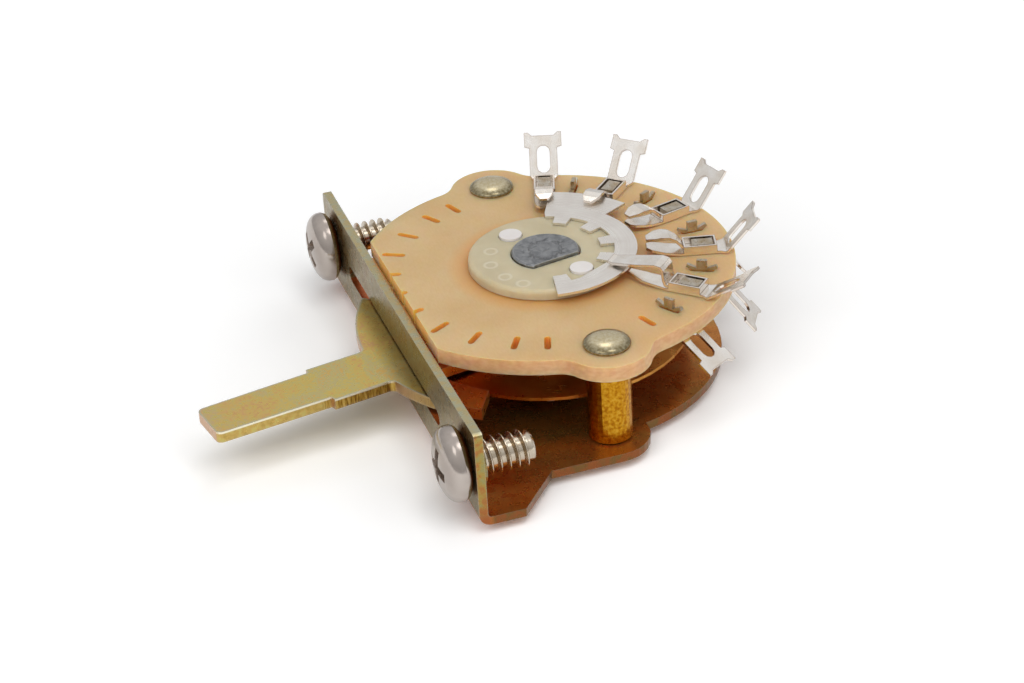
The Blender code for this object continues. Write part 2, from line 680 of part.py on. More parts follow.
def slot_angles():
    """Degrees of the wafer's slots: one a step, moved aside next to the rivets."""
    angles = [SLOT_BY_RIVET, 180 - SLOT_BY_RIVET, 180 + SLOT_BY_RIVET, 360 - SLOT_BY_RIVET]
    for angle in range(SLOT_STEP * 2, 180 - SLOT_STEP, SLOT_STEP):
        angles += [angle, 360 - angle]
    return angles


def wafer_mesh(cutters):
    holes = [circle((0, 0), ROTOR_HUB_RADIUS + RUNNING)]
    for side in (-1, 1):
        holes.append(circle((side * RIVET_SPACING / 2, 0), RIVET_RADIUS + TOUCH, 12))
    body = plate_mesh("wafer", [wafer_outline()] + holes, WAFER_THICKNESS, WAFER_UNDER)
    slots = []
    along_x = stadium(CLIP_SLOT_INNER, CLIP_SLOT_OUTER, CLIP_SLOT_WIDTH, 3)
    low = WAFER_MIDDLE - WAFER_THICKNESS
    for angle in slot_angles():
        slot = turned(along_x, angle * DEG)
        slots.append(plate_mesh("wafer_slot", [slot], WAFER_THICKNESS * 2, low))
    return combined("wafer", body, slots, "DIFFERENCE", cutters)


def rotor_half_mesh(name, face, cutters):
    """Half of the rotor, from the wafer's middle to its outer face. face is 1 for the top half."""
    wafer_face = WAFER_THICKNESS / 2
    outer = wafer_face + ROTOR_PROUD
    bore = SHAFT_RADIUS / 2
    rim_centre = (ROTOR_RADIUS - ROTOR_EDGE, outer - ROTOR_EDGE)
    profile = [(bore, outer)] + arc(rim_centre, ROTOR_EDGE, math.pi / 2, 0, 4)
    profile += [
        (ROTOR_RADIUS, wafer_face + TOUCH),
        (ROTOR_HUB_RADIUS, wafer_face + TOUCH),
        (ROTOR_HUB_RADIUS, TOUCH / 2),
        (bore, TOUCH / 2),
        (bore, outer),
    ]
    body = turned_mesh(name, profile)
    tools = [plate_mesh(name + "_bore", [shaft_hole()], outer * 3, -outer)]
    for side in (0, math.pi):
        centre = polar(PIN_ORBIT, PIN_ANGLE + side)
        hole = PIN_RADIUS + TOUCH / 2
        tools.append(cylinder_mesh(name + "_pin_hole", centre, hole, -outer, outer * 2, 24))
    mesh = combined(name, body, tools, "DIFFERENCE", cutters)
    if face < 0:
        mesh.transform(Matrix.Scale(-1, 4, (0, 0, 1)))
        mesh.flip_normals()
    mesh.transform(Matrix.Translation((0, 0, WAFER_MIDDLE)))
    return mesh


def ring_outline():
    """The rotor's contact: a band with a wide tab outwards and narrow tangs inwards."""
    outline = arc((0, 0), RING_RADIUS, RING_START, TAB_START, 36)
    outline += arc((0, 0), RING_TAB_RADIUS, TAB_START, TAB_END, 10)
    outline += [polar(RING_RADIUS - 1.2 * MM, RING_END)]
    angle = RING_END
    for middle in sorted(TANG_ANGLES, reverse=True):
        start, end = middle * DEG + TANG_WIDTH / 2, middle * DEG - TANG_WIDTH / 2
        outline += arc((0, 0), RING_INNER_RADIUS, min(angle, start + 8 * DEG), start, 3)
        outline += arc((0, 0), RING_TANG_RADIUS, start, max(end, RING_START), 2)
        angle = end
        if end > RING_START:
            outline += [polar(RING_INNER_RADIUS, end)]
    return outline


def leaf_mesh(name, path, widths):
    """A springy leaf that follows the path. Its widths are spread evenly along it."""
    total = lengths(path)[-1]
    side = [(total * i / (len(widths) - 1), width / 2) for i, width in enumerate(widths)]
    outline = [(x, -y) for x, y in side] + list(reversed(side))
    return lay_along(plate_mesh(name, [outline], STRIP), path, STRIP)


def strip_path(common):
    """A terminal's strip from the tip of its lower leaf to the lug's end, as (x, z) points."""
    tip = COMMON_LEAF_TIP if common else JAW_TIP
    rise = COMMON_LUG_RISE if common else LUG_RISE
    path = [(tip + along, share * LEAF_HEIGHT) for along, share in LOWER_LEAF]
    path += [(BOX_INNER - STRIP_BEFORE_BOX, STRIP_LEVEL), (STRIP_OUTER, STRIP_LEVEL)]
    fold_centre = (STRIP_OUTER, STRIP_LEVEL + LUG_FOLD_RADIUS)
    path += arc(fold_centre, LUG_FOLD_RADIUS, -math.pi / 2, rise - math.pi / 2, 3)[1:]
    x, z = path[-1]
    path.append((x + LUG_LENGTH * math.cos(rise), z + LUG_LENGTH * math.sin(rise)))
    return path


def terminal_mesh(name, common, cutters):
    """One terminal: X runs outwards from the pivot axis and Z up from the wafer's face.

    A flat strip carries the box that the staple sits in. Inwards it ends in a jaw of two
    leaves, and outwards it folds up into the lug, which has a window and an eared head.
    """
    path = strip_path(common)
    stations = lengths(path)
    leaf_end, fold_at, lug_at, end = stations[3], stations[4], stations[-2], stations[-1]
    strip, lug, head = STRIP_WIDTH / 2, LUG_WIDTH / 2, LUG_HEAD_WIDTH / 2
    shape = COMMON_LOWER_SHAPE if common else LOWER_SHAPE
    side = [(along * leaf_end, width * strip) for along, width in shape]
    side += [(leaf_end, strip), (fold_at - LUG_FOLD_RADIUS, strip), (lug_at, lug)]
    head_at = end - LUG_HEAD_LENGTH
    side += [(head_at, lug), (head_at + LUG_SHOULDER, head), (end, head)]
    side += [(end, head - LUG_EAR_WIDTH / 2), (end - LUG_EAR_HEIGHT, head - LUG_EAR_WIDTH)]
    outline = [(x, -y) for x, y in side] + list(reversed(side))
    window_at = lug_at + LUG_WINDOW_START
    window = stadium(window_at, window_at + LUG_WINDOW_LENGTH, LUG_WINDOW_WIDTH)
    staple_at = leaf_end - (BOX_INNER - STRIP_BEFORE_BOX) + STAPLE_ORBIT
    half_length, half_width = STAPLE_WIDTH / 2 + TOUCH, STAPLE_THICKNESS / 2 + TOUCH
    hole = rectangle(staple_at - half_length, staple_at + half_length, -half_width, half_width)
    body = plate_mesh(name, [outline, window, hole], STRIP)
    lay_along(body, path, STRIP)

    wall, half = BOX_WALL, BOX_WIDTH / 2
    outer = rectangle(BOX_INNER, BOX_OUTER, -half, half)
    inner = rectangle(BOX_INNER + wall, BOX_OUTER - wall, wall - half, half - wall)
    box = plate_mesh(name + "_box", [outer, inner], BOX_HEIGHT, STRIP_LEVEL)
    points, widths = (COMMON_LEAF, COMMON_LEAF_WIDTHS) if common else (JAW_LEAF, JAW_LEAF_WIDTHS)
    upper = [(BOX_INNER + wall / 2 - along * MM, height * MM) for along, height in points]
    if common:
        upper += [(COMMON_TIP + along * MM, height * MM) for along, height in COMMON_LEAF_END]
    else:
        upper.append((JAW_TIP, JAW_LEAF_END * MM))
    leaf = leaf_mesh(name + "_leaf", upper, [width * MM for width in widths])
    return combined(name, body, [box, leaf], "UNION", cutters)


def staple_mesh(cutters):
    """The staple that holds a terminal: crown above, shank, and a split tail bent open.

    Its middle plane is radial. X is 0 at the slot's middle and Z at the wafer's face.
    """
    strip_top = TOUCH / 2 + STRIP
    half = STAPLE_WIDTH / 2
    under = -WAFER_THICKNESS
    prong = PRONG_WIDTH / 2
    barb = BARB_REACH
    low = under - TOUCH / 2
    side = [
        (half, strip_top + TOUCH),
        (half, low),
        (barb, low - BARB_HEIGHT + BARB_THICKNESS),
        (barb - BARB_THICKNESS / 2, low - BARB_HEIGHT),
        (half - BARB_THICKNESS, low - BARB_THICKNESS),
        (prong, low - BARB_THICKNESS / 2),
        (prong, low - PRONG_HEIGHT),
    ]
    outline = side + [(-x, z) for x, z in reversed(side)]
    blade = plate_mesh("staple", [outline[::-1]], STAPLE_THICKNESS, -STAPLE_THICKNESS / 2)
    blade.transform(Matrix.Rotation(math.pi / 2, 4, "X"))
    crown = plate_mesh(
        "staple_crown",
        [rectangle(-CROWN_LENGTH / 2, CROWN_LENGTH / 2, -CROWN_WIDTH / 2, CROWN_WIDTH / 2)],
        CROWN_HEIGHT,
        strip_top + TOUCH / 2,
    )
    return combined("staple", crown, [blade], "UNION", cutters)


def dome(radius, height, base, fullness=1.0, steps=6):
    """Profile of a domed head from its top down to its edge at z = base."""
    points = [(0, base + height)]
    for step in range(1, steps + 1):
        turn = step / steps * math.pi / 2
        across = math.sin(turn) ** fullness
        up = max(math.cos(turn), 0) ** fullness
        points.append((radius * across, base + height * (up if step < steps else 0)))
    return points


def rivet_mesh():
    """A shank with a domed head above the wafer and a swaged tail below the base plate."""
    head_low = WAFER_TOP + TOUCH / 2
    tail_high = BASE_UNDER - TOUCH / 2
    head_base = head_low + RIVET_HEAD_RIM
    profile = dome(RIVET_HEAD_RADIUS, RIVET_HEAD_HEIGHT - RIVET_HEAD_RIM, head_base)
    profile += [
        (RIVET_HEAD_RADIUS, head_low),
        (RIVET_RADIUS, head_low),
        (RIVET_RADIUS, tail_high),
        (RIVET_TAIL_RADIUS, tail_high),
        (RIVET_TAIL_RADIUS - RIVET_TAIL_SLOPE, tail_high / 3),
        (RIVET_RADIUS, 0),
        (0, 0),
    ]
    return turned_mesh("rivet", profile, 24)


def spacer_mesh():
    low, high = BASE_TOP + TOUCH / 2, WAFER_UNDER - TOUCH / 2
    bore = RIVET_RADIUS + TOUCH
    edge = 0.15 * MM
    profile = [
        (bore, high),
        (SPACER_RADIUS - edge, high),
        (SPACER_RADIUS, high - edge),
        (SPACER_RADIUS, low + edge),
        (SPACER_RADIUS - edge, low),
        (bore, low),
        (bore, high),
    ]
    return turned_mesh("spacer", profile, 28)


def screw_mesh():
    """A mounting screw along Z, its head's rim at z = 0 and its thread down -Z."""
    under = -SCREW_HEAD_RIM - SCREW_HEAD_CONE
    end = under - TOUCH - SCREW_REACH
    profile = dome(SCREW_HEAD_RADIUS, SCREW_HEAD_DOME, 0, SCREW_HEAD_FULLNESS)
    profile += [
        (SCREW_HEAD_RADIUS, -SCREW_HEAD_RIM),
        (THREAD_RADIUS + RUNNING, under),
        (THREAD_RADIUS, under),
        (THREAD_RADIUS, end + THREAD_RADIUS / 4),
        (THREAD_RADIUS * 0.75, end),
        (0, end),
    ]
    return turned_mesh("mounting_screw", profile, 28)


def ball_mesh():
    mesh = bpy.data.meshes.new("detent_ball")
    edit = bmesh.new()
    bmesh.ops.create_uvsphere(edit, u_segments=12, v_segments=8, radius=BALL_RADIUS)
    edit.to_mesh(mesh)
    edit.free()
    return mesh


def build():
    clear_scene()
    parts = new_collection("pickup_selector_switch")
    cutters = new_collection("cutters")
    cutters.hide_render = True
    looks = {
        "frame": material("chromate_frame", (0.30, 0.20, 0.10), 0.3, 1.0),
        "lever": material("chromate_lever", (0.55, 0.45, 0.20), 0.35, 1.0),
        "zinc": material("cast_zinc", (0.40, 0.42, 0.44), 0.5, 1.0),
        "spring": material("bronzed_spring", (0.22, 0.12, 0.06), 0.3, 1.0),
        "steel": material("ball_steel", (0.60, 0.60, 0.60), 0.15, 1.0),
        "wafer": material("paper_laminate", (0.72, 0.52, 0.30), 0.6, 0.0),
        "nylon": material("rotor_nylon", (0.72, 0.70, 0.58), 0.5, 0.0),
        "pin": material("pin_nylon", (0.85, 0.84, 0.82), 0.5, 0.0),
        "silver": material("silver_plate", (0.75, 0.73, 0.70), 0.25, 1.0),
        "staple": material("staple_steel", (0.42, 0.39, 0.33), 0.35, 1.0),
        "brass": material("brass", (0.78, 0.52, 0.13), 0.35, 1.0),
        "nickel": material("nickel", (0.62, 0.60, 0.57), 0.2, 1.0),
    }

    pivot = bpy.data.objects.new("pivot", None)
    pivot.rotation_euler.z = LEVER_TURN
    parts.objects.link(pivot)

    def turning(name, mesh, look):
        obj = add_object(name, mesh, parts, looks[look])
        obj.parent = pivot
        return obj

    add_object("frame", frame_mesh(cutters), parts, looks["frame"])
    add_object("wafer", wafer_mesh(cutters), parts, looks["wafer"])

    lever_loops = [lever_outline(), shaft_hole()]
    turning("lever", plate_mesh("lever", lever_loops, LEVER_THICKNESS, LEVER_UNDER), "lever")
    turning("shaft", shaft_mesh(cutters), "zinc")
    turning("index_disc", index_disc_mesh(cutters), "spring")
    clip_z = (FOOT_LIP + BASE_UNDER - TOUCH - CLIP_THICKNESS) / 2
    clip = plate_mesh("retaining_clip", [clip_outline()], CLIP_THICKNESS, clip_z)
    turning("retaining_clip", clip, "steel")
    ball = ball_mesh()
    ball_z = BASE_TOP + RUNNING + BALL_RADIUS
    for number, side in enumerate((0, math.pi)):
        x, y = polar(BALL_ORBIT, side)
        turning(f"detent_ball_{number + 1}", ball, "steel").location = (x, y, ball_z)

    turning("rotor_upper", rotor_half_mesh("rotor_upper", 1, cutters), "nylon")
    turning("rotor_lower", rotor_half_mesh("rotor_lower", -1, cutters), "nylon")
    pin_half = WAFER_THICKNESS / 2 + ROTOR_PROUD + PIN_PROUD
    pin_low, pin_high = WAFER_MIDDLE - pin_half, WAFER_MIDDLE + pin_half
    pin = cylinder_mesh("rotor_pin", (0, 0), PIN_RADIUS, pin_low, pin_high, 24)
    for number, side in enumerate((0, math.pi)):
        x, y = polar(PIN_ORBIT, PIN_ANGLE + side)
        turning(f"rotor_pin_{number + 1}", pin, "pin").location = (x, y, 0)
    ring_above = ROTOR_PROUD + TOUCH / 2
    ring = plate_mesh("contact_ring", [ring_outline()], RING_THICKNESS)
    upper_z, lower_z = WAFER_TOP + ring_above, WAFER_UNDER - ring_above - RING_THICKNESS
    turning("contact_ring_upper", ring, "silver").location.z = upper_z
    turning("contact_ring_lower", ring, "silver").location.z = lower_z

    plain = terminal_mesh("terminal", False, cutters)
    common = terminal_mesh("common_terminal", True, cutters)
    staple = staple_mesh(cutters)
    for side, angles in (("upper", TOP_ANGLES), ("lower", UNDER_ANGLES)):
        over = math.pi if side == "lower" else 0
        level = WAFER_UNDER if side == "lower" else WAFER_TOP
        for number, angle in enumerate(angles):
            kind = "common" if number == 0 else str(number)
            mesh = common if number == 0 else plain
            lug = add_object(f"terminal_{side}_{kind}", mesh, parts, looks["silver"])
            lug.rotation_euler = (over, 0, angle * DEG)
            lug.location.z = level
            clamp = add_object(f"staple_{side}_{kind}", staple, parts, looks["staple"])
            clamp.rotation_euler = (over, 0, angle * DEG)
            x, y = polar(STAPLE_ORBIT, angle * DEG)
            clamp.location = (x, y, level)

    rivet, spacer, screw = rivet_mesh(), spacer_mesh(), screw_mesh()
    for side, name in ((-1, "left"), (1, "right")):
        x = side * RIVET_SPACING / 2
        add_object(f"rivet_{name}", rivet, parts, looks["nickel"]).location.x = x
        add_object(f"spacer_{name}", spacer, parts, looks["brass"]).location.x = x
        held = add_object(f"mounting_screw_{name}", screw, parts, looks["nickel"])
        held.rotation_euler.x = math.pi / 2
        held.location = (
            side * SCREW_SPACING / 2,
            -FLANGE_DISTANCE - SCREW_HEAD_RIM - SCREW_HEAD_CONE - TOUCH,
            SCREW_AXIS_Z,
        )


build()
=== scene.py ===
"""The five-position lever switch as photographed: lying on a white ground in soft light."""

import math

import bmesh
import bpy
from mathutils import Matrix, Vector


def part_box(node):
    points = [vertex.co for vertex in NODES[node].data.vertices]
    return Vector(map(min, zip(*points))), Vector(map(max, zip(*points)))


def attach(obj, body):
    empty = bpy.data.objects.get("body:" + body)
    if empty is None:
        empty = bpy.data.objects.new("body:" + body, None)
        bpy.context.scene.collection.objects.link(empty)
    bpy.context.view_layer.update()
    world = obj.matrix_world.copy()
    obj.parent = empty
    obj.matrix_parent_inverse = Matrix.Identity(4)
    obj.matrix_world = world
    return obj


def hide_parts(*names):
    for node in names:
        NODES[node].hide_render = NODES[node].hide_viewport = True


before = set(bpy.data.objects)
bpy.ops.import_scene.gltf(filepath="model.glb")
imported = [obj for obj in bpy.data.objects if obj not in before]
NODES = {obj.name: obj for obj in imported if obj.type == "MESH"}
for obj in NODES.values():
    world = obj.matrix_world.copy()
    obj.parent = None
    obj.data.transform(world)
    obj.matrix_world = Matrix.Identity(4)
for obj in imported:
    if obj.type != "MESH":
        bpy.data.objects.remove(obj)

MM = 0.001
DEG = math.pi / 180
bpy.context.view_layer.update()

# Camera, fitted to the photograph
CAMERA_AZIMUTH = 73.184 * DEG  # from -Y towards +X
CAMERA_ELEVATION = 30.826 * DEG
CAMERA_ROLL = -3.719 * DEG
CAMERA_DISTANCE = 231.654 * MM
CAMERA_TARGET = Vector((8.647, -6.331, 8.794)) * MM
CAMERA_SENSOR = 36.0
CAMERA_LENS = 92.52
CAMERA_NEAR = 10 * MM  # nothing closer to it than this is drawn

# Mounting screws, number 6 with 32 threads to the inch
THREAD_PITCH = 25.4 / 32 * MM
THREAD_CREST = 1.65 * MM
THREAD_ROOT = 1.17 * MM
# One turn of the thread, as shares of the pitch and the radius there
THREAD_PROFILE = ((0.0, THREAD_ROOT), (0.3, THREAD_ROOT), (0.54, THREAD_CREST), (0.64, THREAD_CREST),
                  (0.88, THREAD_ROOT))
THREAD_START = 0.02 * MM  # above the cone's lower end
THREAD_END = 0.05 * MM  # above the screw's end
THREAD_TAPER = 0.9  # radius that the thread may gain for each length from its end
CORE_GAP = 0.02 * MM  # between the core and the thread's root
CORE_TAPER_LENGTH = 0.3 * MM
CORE_END_SHARE = 0.8  # of the core's radius, at the screw's end
HEAD_RADIUS = 3.35 * MM
HEAD_DOME = 1.65 * MM
HEAD_FULLNESS = 0.8  # 1 is an ellipse, less is fuller
HEAD_EDGE = 0.12 * MM  # its upright side, under the dome
HEAD_RIM = 0.45 * MM  # from the dome down to the cone
HEAD_RIM_INSET = 0.2 * MM  # how much narrower the rim is at its lower end
HEAD_CONE = 0.35 * MM
HEAD_CONE_INSET = 0.7 * MM  # the same for the cone
HEAD_NECK = 1.9 * MM  # radius of a ring on its flat underside
HEAD_ROUNDING = 0.05 * MM
RECESS_SPAN = 4.0 * MM
RECESS_WIDTH = 0.85 * MM
RECESS_DEPTH = 1.6 * MM
RECESS_FLOOR = (0.42, 0.7)  # shares of its span and width at its floor
RECESS_MOUTH = (1.05, 1.15)  # the same above the dome
RECESS_MOUTH_HEIGHT = 1.2 * HEAD_DOME  # clear of the dome, so that the cut is open
RECESS_TURN = {"left": 45 * DEG, "right": -5 * DEG}

# Rivets
RIVET_GAP = 0.05 * MM  # between the wafer and the head
RIVET_RIM = 0.12 * MM
RIVET_RADIUS = 1.1 * MM
RIVET_TAIL_RADIUS = 1.9 * MM
RIVET_TAIL_HEIGHT = 0.75 * MM
RIVET_FOOT_RADIUS = 1.7 * MM
RIVET_FOOT_HEIGHT = 0.3 * MM

# Meshes
ROUND_STEPS = 64
THREAD_STEPS = 40
DOME_STEPS = 14
SAME_PLACE = 1e-7
SMOOTH_ANGLE = 32 * DEG
HEAD_SMOOTH_ANGLE = 30 * DEG
THREAD_SMOOTH_ANGLE = 50 * DEG
BEVEL_ANGLE = 40 * DEG
BEVEL_SEGMENTS = 3

# Light, where a level of 1 is white
LAMP_DISTANCE = 0.55
LAMP_TARGET = Vector((0, 0, 5)) * MM
FILL_LIGHT = 0.2
TENT_LOW = 0.5
TENT_HIGH = 0.86

# White ground
GROUND_HALF = 3.0
GROUND_WHITE = 0.9
GROUND_WHITE_FOR_CAMERA = 1.04
GLOW_REACH = (30 * MM, 130 * MM)  # distances from the pivot between which the glow grows
GLOW_LEVELS = (0.03, 0.26)

# How the looks read noise, faces and edges
NOISE_BULK = (0.3, 0.7)  # most of a noise's values lie between these
FACING = (0.7, 0.9)  # the normal's part along an axis, where a mask of faces starts and is full
UPRIGHT = (0.6, 0.3)  # the same for faces that turn away from that axis
EDGE_SAMPLES = 6
EDGE_LIKENESS = (0.985, 0.8)  # of the rounded normal to the flat one, where an edge starts and is full

# Places on the part that its tints follow
SHEET = 0.8 * MM  # thickness of the frame
FLANGE_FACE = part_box("frame")[0].y
FLANGE_BACK = FLANGE_FACE + SHEET
FLANGE_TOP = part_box("frame")[1].z
FLANGE_BAND = FLANGE_TOP - 1.55 * MM  # the flange's top edge is above it, the lever's slot below
PLATE_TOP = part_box("frame")[0].z + SHEET
LEVER_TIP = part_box("lever")[0].y
LEVER_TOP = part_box("lever")[1].z
LEVER_STEP = LEVER_TIP + 10.4 * MM  # where the blade narrows
LEVER_NECK = FLANGE_FACE - 1.85 * MM  # where the blade's side bends out to the crescent
ROTOR_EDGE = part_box("rotor_upper")[1].x
WAFER_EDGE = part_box("wafer")[1].y  # radius of its round edge
WAFER_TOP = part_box("wafer")[1].z
SPACER_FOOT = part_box("spacer_right")[0].z

# Rings that mould pins leave on the rotor's face
MOULD_MARKS = ((-2.2 * MM, -4.5 * MM), (0.2 * MM, -5.3 * MM), (2.8 * MM, -4.8 * MM), (4.6 * MM, -3.7 * MM))
MOULD_MARK_RADIUS = 0.55 * MM
MOULD_MARK_WIDTH = (0.2 * MM, 0.06 * MM)  # from a ring's line to where it ends and where it is full


def colour(red, green, blue):
    """An sRGB colour from 0 to 255, as linear values."""
    linear = []
    for value in (red, green, blue):
        share = value / 255
        linear.append(share / 12.92 if share <= 0.04045 else ((share + 0.055) / 1.055) ** 2.4)
    return (*linear, 1.0)


def grey(level):
    """A grey of that linear level."""
    return (level, level, level, 1.0)


class Nodes:
    """The nodes of one tree, with a short call for each kind used here."""

    def __init__(self, tree):
        self.tree = tree

    def new(self, kind):
        return self.tree.nodes.new("ShaderNode" + kind)

    def feed(self, socket, value):
        if isinstance(value, bpy.types.NodeSocket):
            self.tree.links.new(value, socket)
        else:
            socket.default_value = value

    def part_along(self, vector, axis):
        """One of a vector's X, Y and Z."""
        node = self.new("SeparateXYZ")
        self.feed(node.inputs[0], vector)
        return node.outputs[axis]

    def maths(self, operation, first, second=0.0):
        node = self.new("Math")
        node.operation = operation
        self.feed(node.inputs[0], first)
        self.feed(node.inputs[1], second)
        return node.outputs[0]

    def times(self, first, second):
        """The product, which for two masks is 1 where both are."""
        return self.maths("MULTIPLY", first, second)

    def span(self, value, low, high, first=0.0, second=1.0):
        """Carries value from low..high to first..second, clamped."""
        node = self.new("MapRange")
        self.feed(node.inputs["Value"], value)
        node.inputs["From Min"].default_value = low
        node.inputs["From Max"].default_value = high
        node.inputs["To Min"].default_value = first
        node.inputs["To Max"].default_value = second
        return node.outputs["Result"]

    def ramp(self, factor, stops):
        node = self.new("ValToRGB")
        elements = node.color_ramp.elements
        while len(elements) < len(stops):
            elements.new(0.5)
        for element, (place, tint) in zip(elements, stops):
            element.position = place
            element.color = tint
        self.feed(node.inputs["Fac"], factor)
        return node.outputs["Color"]

    def tones(self, factor, *tints):
        """A ramp through evenly spaced tints."""
        return self.ramp(factor, [(i / (len(tints) - 1), tint) for i, tint in enumerate(tints)])

    def mix(self, factor, first, second):
        node = self.new("Mix")
        node.data_type = "RGBA"
        self.feed(node.inputs["Factor"], factor)
        self.feed(node.inputs["A"], first)
        self.feed(node.inputs["B"], second)
        return node.outputs["Result"]

    def ray(self, kind):
        """1 for rays of that kind, such as Camera."""
        return self.new("LightPath").outputs[f"Is {kind} Ray"]


class Look(Nodes):
    """A material, painted by places and faces of the object it is on."""

    def __init__(self, name, roughness, metallic=0.0):
        self.material = bpy.data.materials.new(name)
        self.material.use_nodes = True
        super().__init__(self.material.node_tree)
        self.shader = self.tree.nodes["Principled BSDF"]
        self.feed(self.shader.inputs["Roughness"], roughness)
        self.feed(self.shader.inputs["Metallic"], metallic)
        self.place = self.new("TexCoord").outputs["Object"]

    def noise(self, size, detail=3.0, stretch=None, distortion=0.0):
        """Smooth noise whose blotches are about that size in metres."""
        node = self.new("TexNoise")
        node.inputs["Scale"].default_value = 1 / size
        node.inputs["Detail"].default_value = detail
        node.inputs["Distortion"].default_value = distortion
        place = self.place
        if stretch:
            mapping = self.new("Mapping")
            mapping.inputs["Scale"].default_value = stretch
            self.feed(mapping.inputs["Vector"], place)
            place = mapping.outputs["Vector"]
        self.feed(node.inputs["Vector"], place)
        return node.outputs["Fac"]

    def clear(self, noise, spread=0.15):
        """Noise with more contrast: what lies within the spread round a half becomes 0 to 1."""
        return self.span(noise, 0.5 - spread, 0.5 + spread)

    def axis(self, name):
        return self.part_along(self.place, name)

    def past(self, name, place, fade, most=1.0):
        """0 before that place on an axis and the most after it. With a negative fade, before is after."""
        return self.span(self.axis(name), place, place + fade, 0.0, most)

    def facing(self, axis):
        """The normal's part along an axis of the object."""
        return self.part_along(self.new("TexCoord").outputs["Normal"], axis)

    def level(self):
        """1 on faces that look straight up or down, 0 on upright ones."""
        return self.maths("ABSOLUTE", self.facing("Z"))

    def far_from(self, x=0.0, y=0.0):
        """Distance from the line through x and y along the object's Z axis."""
        across = self.maths("SUBTRACT", self.axis("X"), x)
        along = self.maths("SUBTRACT", self.axis("Y"), y)
        squares = self.maths("ADD", self.times(across, across), self.times(along, along))
        return self.maths("SQRT", squares)

    def near_edge(self, reach):
        """1 on an edge that sticks out, falling to 0 about that far away from it."""
        rounded = self.new("Bevel")
        rounded.samples = EDGE_SAMPLES
        rounded.inputs["Radius"].default_value = reach
        likeness = self.new("VectorMath")
        likeness.operation = "DOT_PRODUCT"
        self.feed(likeness.inputs[0], rounded.outputs["Normal"])
        self.feed(likeness.inputs[1], self.new("NewGeometry").outputs["True Normal"])
        return self.span(likeness.outputs["Value"], *EDGE_LIKENESS)

    def paint(self, tint):
        self.feed(self.shader.inputs["Base Color"], tint)

    def roughen(self, noise, low, high):
        """Lets the roughness wander between two values."""
        self.feed(self.shader.inputs["Roughness"], self.span(noise, *NOISE_BULK, low, high))

    def bump(self, height, depth, strength=0.5):
        node = self.new("Bump")
        node.inputs["Strength"].default_value = strength
        node.inputs["Distance"].default_value = depth
        self.feed(node.inputs["Height"], height)
        self.feed(self.shader.inputs["Normal"], node.outputs["Normal"])

    def soften(self, weight, red, green, blue):
        """Lets light wander inside, that far for each colour."""
        self.shader.inputs["Subsurface Weight"].default_value = weight
        self.shader.inputs["Subsurface Radius"].default_value = (red, green, blue)
        self.shader.inputs["Subsurface Scale"].default_value = 1.0


def chromate(name, tints, roughness, patch, grain):
    """Zinc plate under a yellow chromate film: tints wander in patches, with a fine speckle."""
    look = Look(name, roughness, metallic=0.9)
    wide = look.noise(patch, detail=4.0, distortion=0.8)
    blend = look.maths("ADD", look.times(wide, 0.6), look.times(look.noise(grain), 0.4))
    look.roughen(look.noise(grain * 2), roughness - 0.05, roughness + 0.08)
    look.bump(look.noise(grain / 2), 0.006 * MM)
    return look, look.tones(look.clear(blend, spread=0.14), *tints)


def plate_film(look):
    """Red-brown film with thin dark stains. Its red is partly the plate's own film and partly a painted
    reflection of the wafer's tan underside.
    """
    cloud = look.clear(look.noise(6 * MM, detail=4.0, distortion=1.5), spread=0.16)
    film = look.ramp(cloud, ((0.0, colour(190, 120, 50)), (0.4, colour(202, 131, 58)),
                             (0.7, colour(196, 136, 66)), (1.0, colour(188, 140, 70))))
    stains = look.noise(1.6 * MM, detail=5.0, distortion=2.5)
    off_line = look.maths("ABSOLUTE", look.maths("SUBTRACT", stains, 0.5))
    return look.mix(look.span(off_line, 0.012, 0.0, 0.0, 0.4), film, colour(110, 40, 14))


def frame_look():
    """Olive flange and red-brown base plate, the plate's red partly a painted reflection of the wafer, the
    film worn to grey on the edges.
    """
    olive = (colour(132, 103, 58), colour(146, 126, 78), colour(142, 131, 98), colour(148, 118, 64))
    look, tint = chromate("chromate_frame", olive, roughness=0.27, patch=5 * MM, grain=0.5 * MM)
    mottle = look.clear(look.noise(0.9 * MM, detail=4.0), spread=0.1)
    level = look.level()
    on_plate = look.past("Z", PLATE_TOP + 0.35 * MM, -0.32 * MM)
    on_flange = look.past("Y", FLANGE_BACK + 0.55 * MM, -0.5 * MM)
    # The base plate's red-brown is partly its own film and partly a painted reflection of the wafer above
    # it.
    tint = look.mix(on_plate, tint, plate_film(look))

    flange_back = look.times(look.span(look.facing("Y"), 0.5, 0.9),
                             look.past("Z", PLATE_TOP - 0.75 * MM, 0.8 * MM))
    tint = look.mix(flange_back, tint, colour(176, 110, 58))

    behind_flange = look.past("Y", FLANGE_BACK + 0.05 * MM, 0.5 * MM)
    sheared = look.times(look.span(level, *UPRIGHT), look.times(on_plate, behind_flange))
    tint = look.mix(sheared, tint, look.mix(mottle, colour(144, 86, 48), colour(122, 92, 52)))

    in_slot = look.times(look.span(level, *FACING), on_flange)
    in_slot = look.times(in_slot, look.past("Z", FLANGE_BAND, -0.5 * MM))
    tint = look.mix(in_slot, tint, colour(190, 104, 54))

    gilt = look.ramp(mottle, ((0.0, colour(170, 116, 64)), (0.45, colour(168, 142, 74)),
                              (1.0, colour(154, 146, 94))))
    gilt = look.mix(look.past("Z", PLATE_TOP + 1.65 * MM, -1.8 * MM), gilt, colour(166, 98, 56))
    end_face = look.span(look.maths("ABSOLUTE", look.facing("X")), *FACING)
    tint = look.mix(look.times(end_face, on_flange), tint, gilt)

    top_edge = look.times(look.span(look.facing("Z"), *FACING), look.past("Z", FLANGE_BAND, 0.7 * MM))
    tint = look.mix(top_edge, tint, look.mix(mottle, colour(190, 172, 124), colour(178, 176, 148)))

    worn = look.times(look.near_edge(0.16 * MM), look.span(sheared, 0.0, 1.0, 0.6, 0.15))
    look.paint(look.mix(worn, tint, colour(176, 172, 156)))
    return look.material


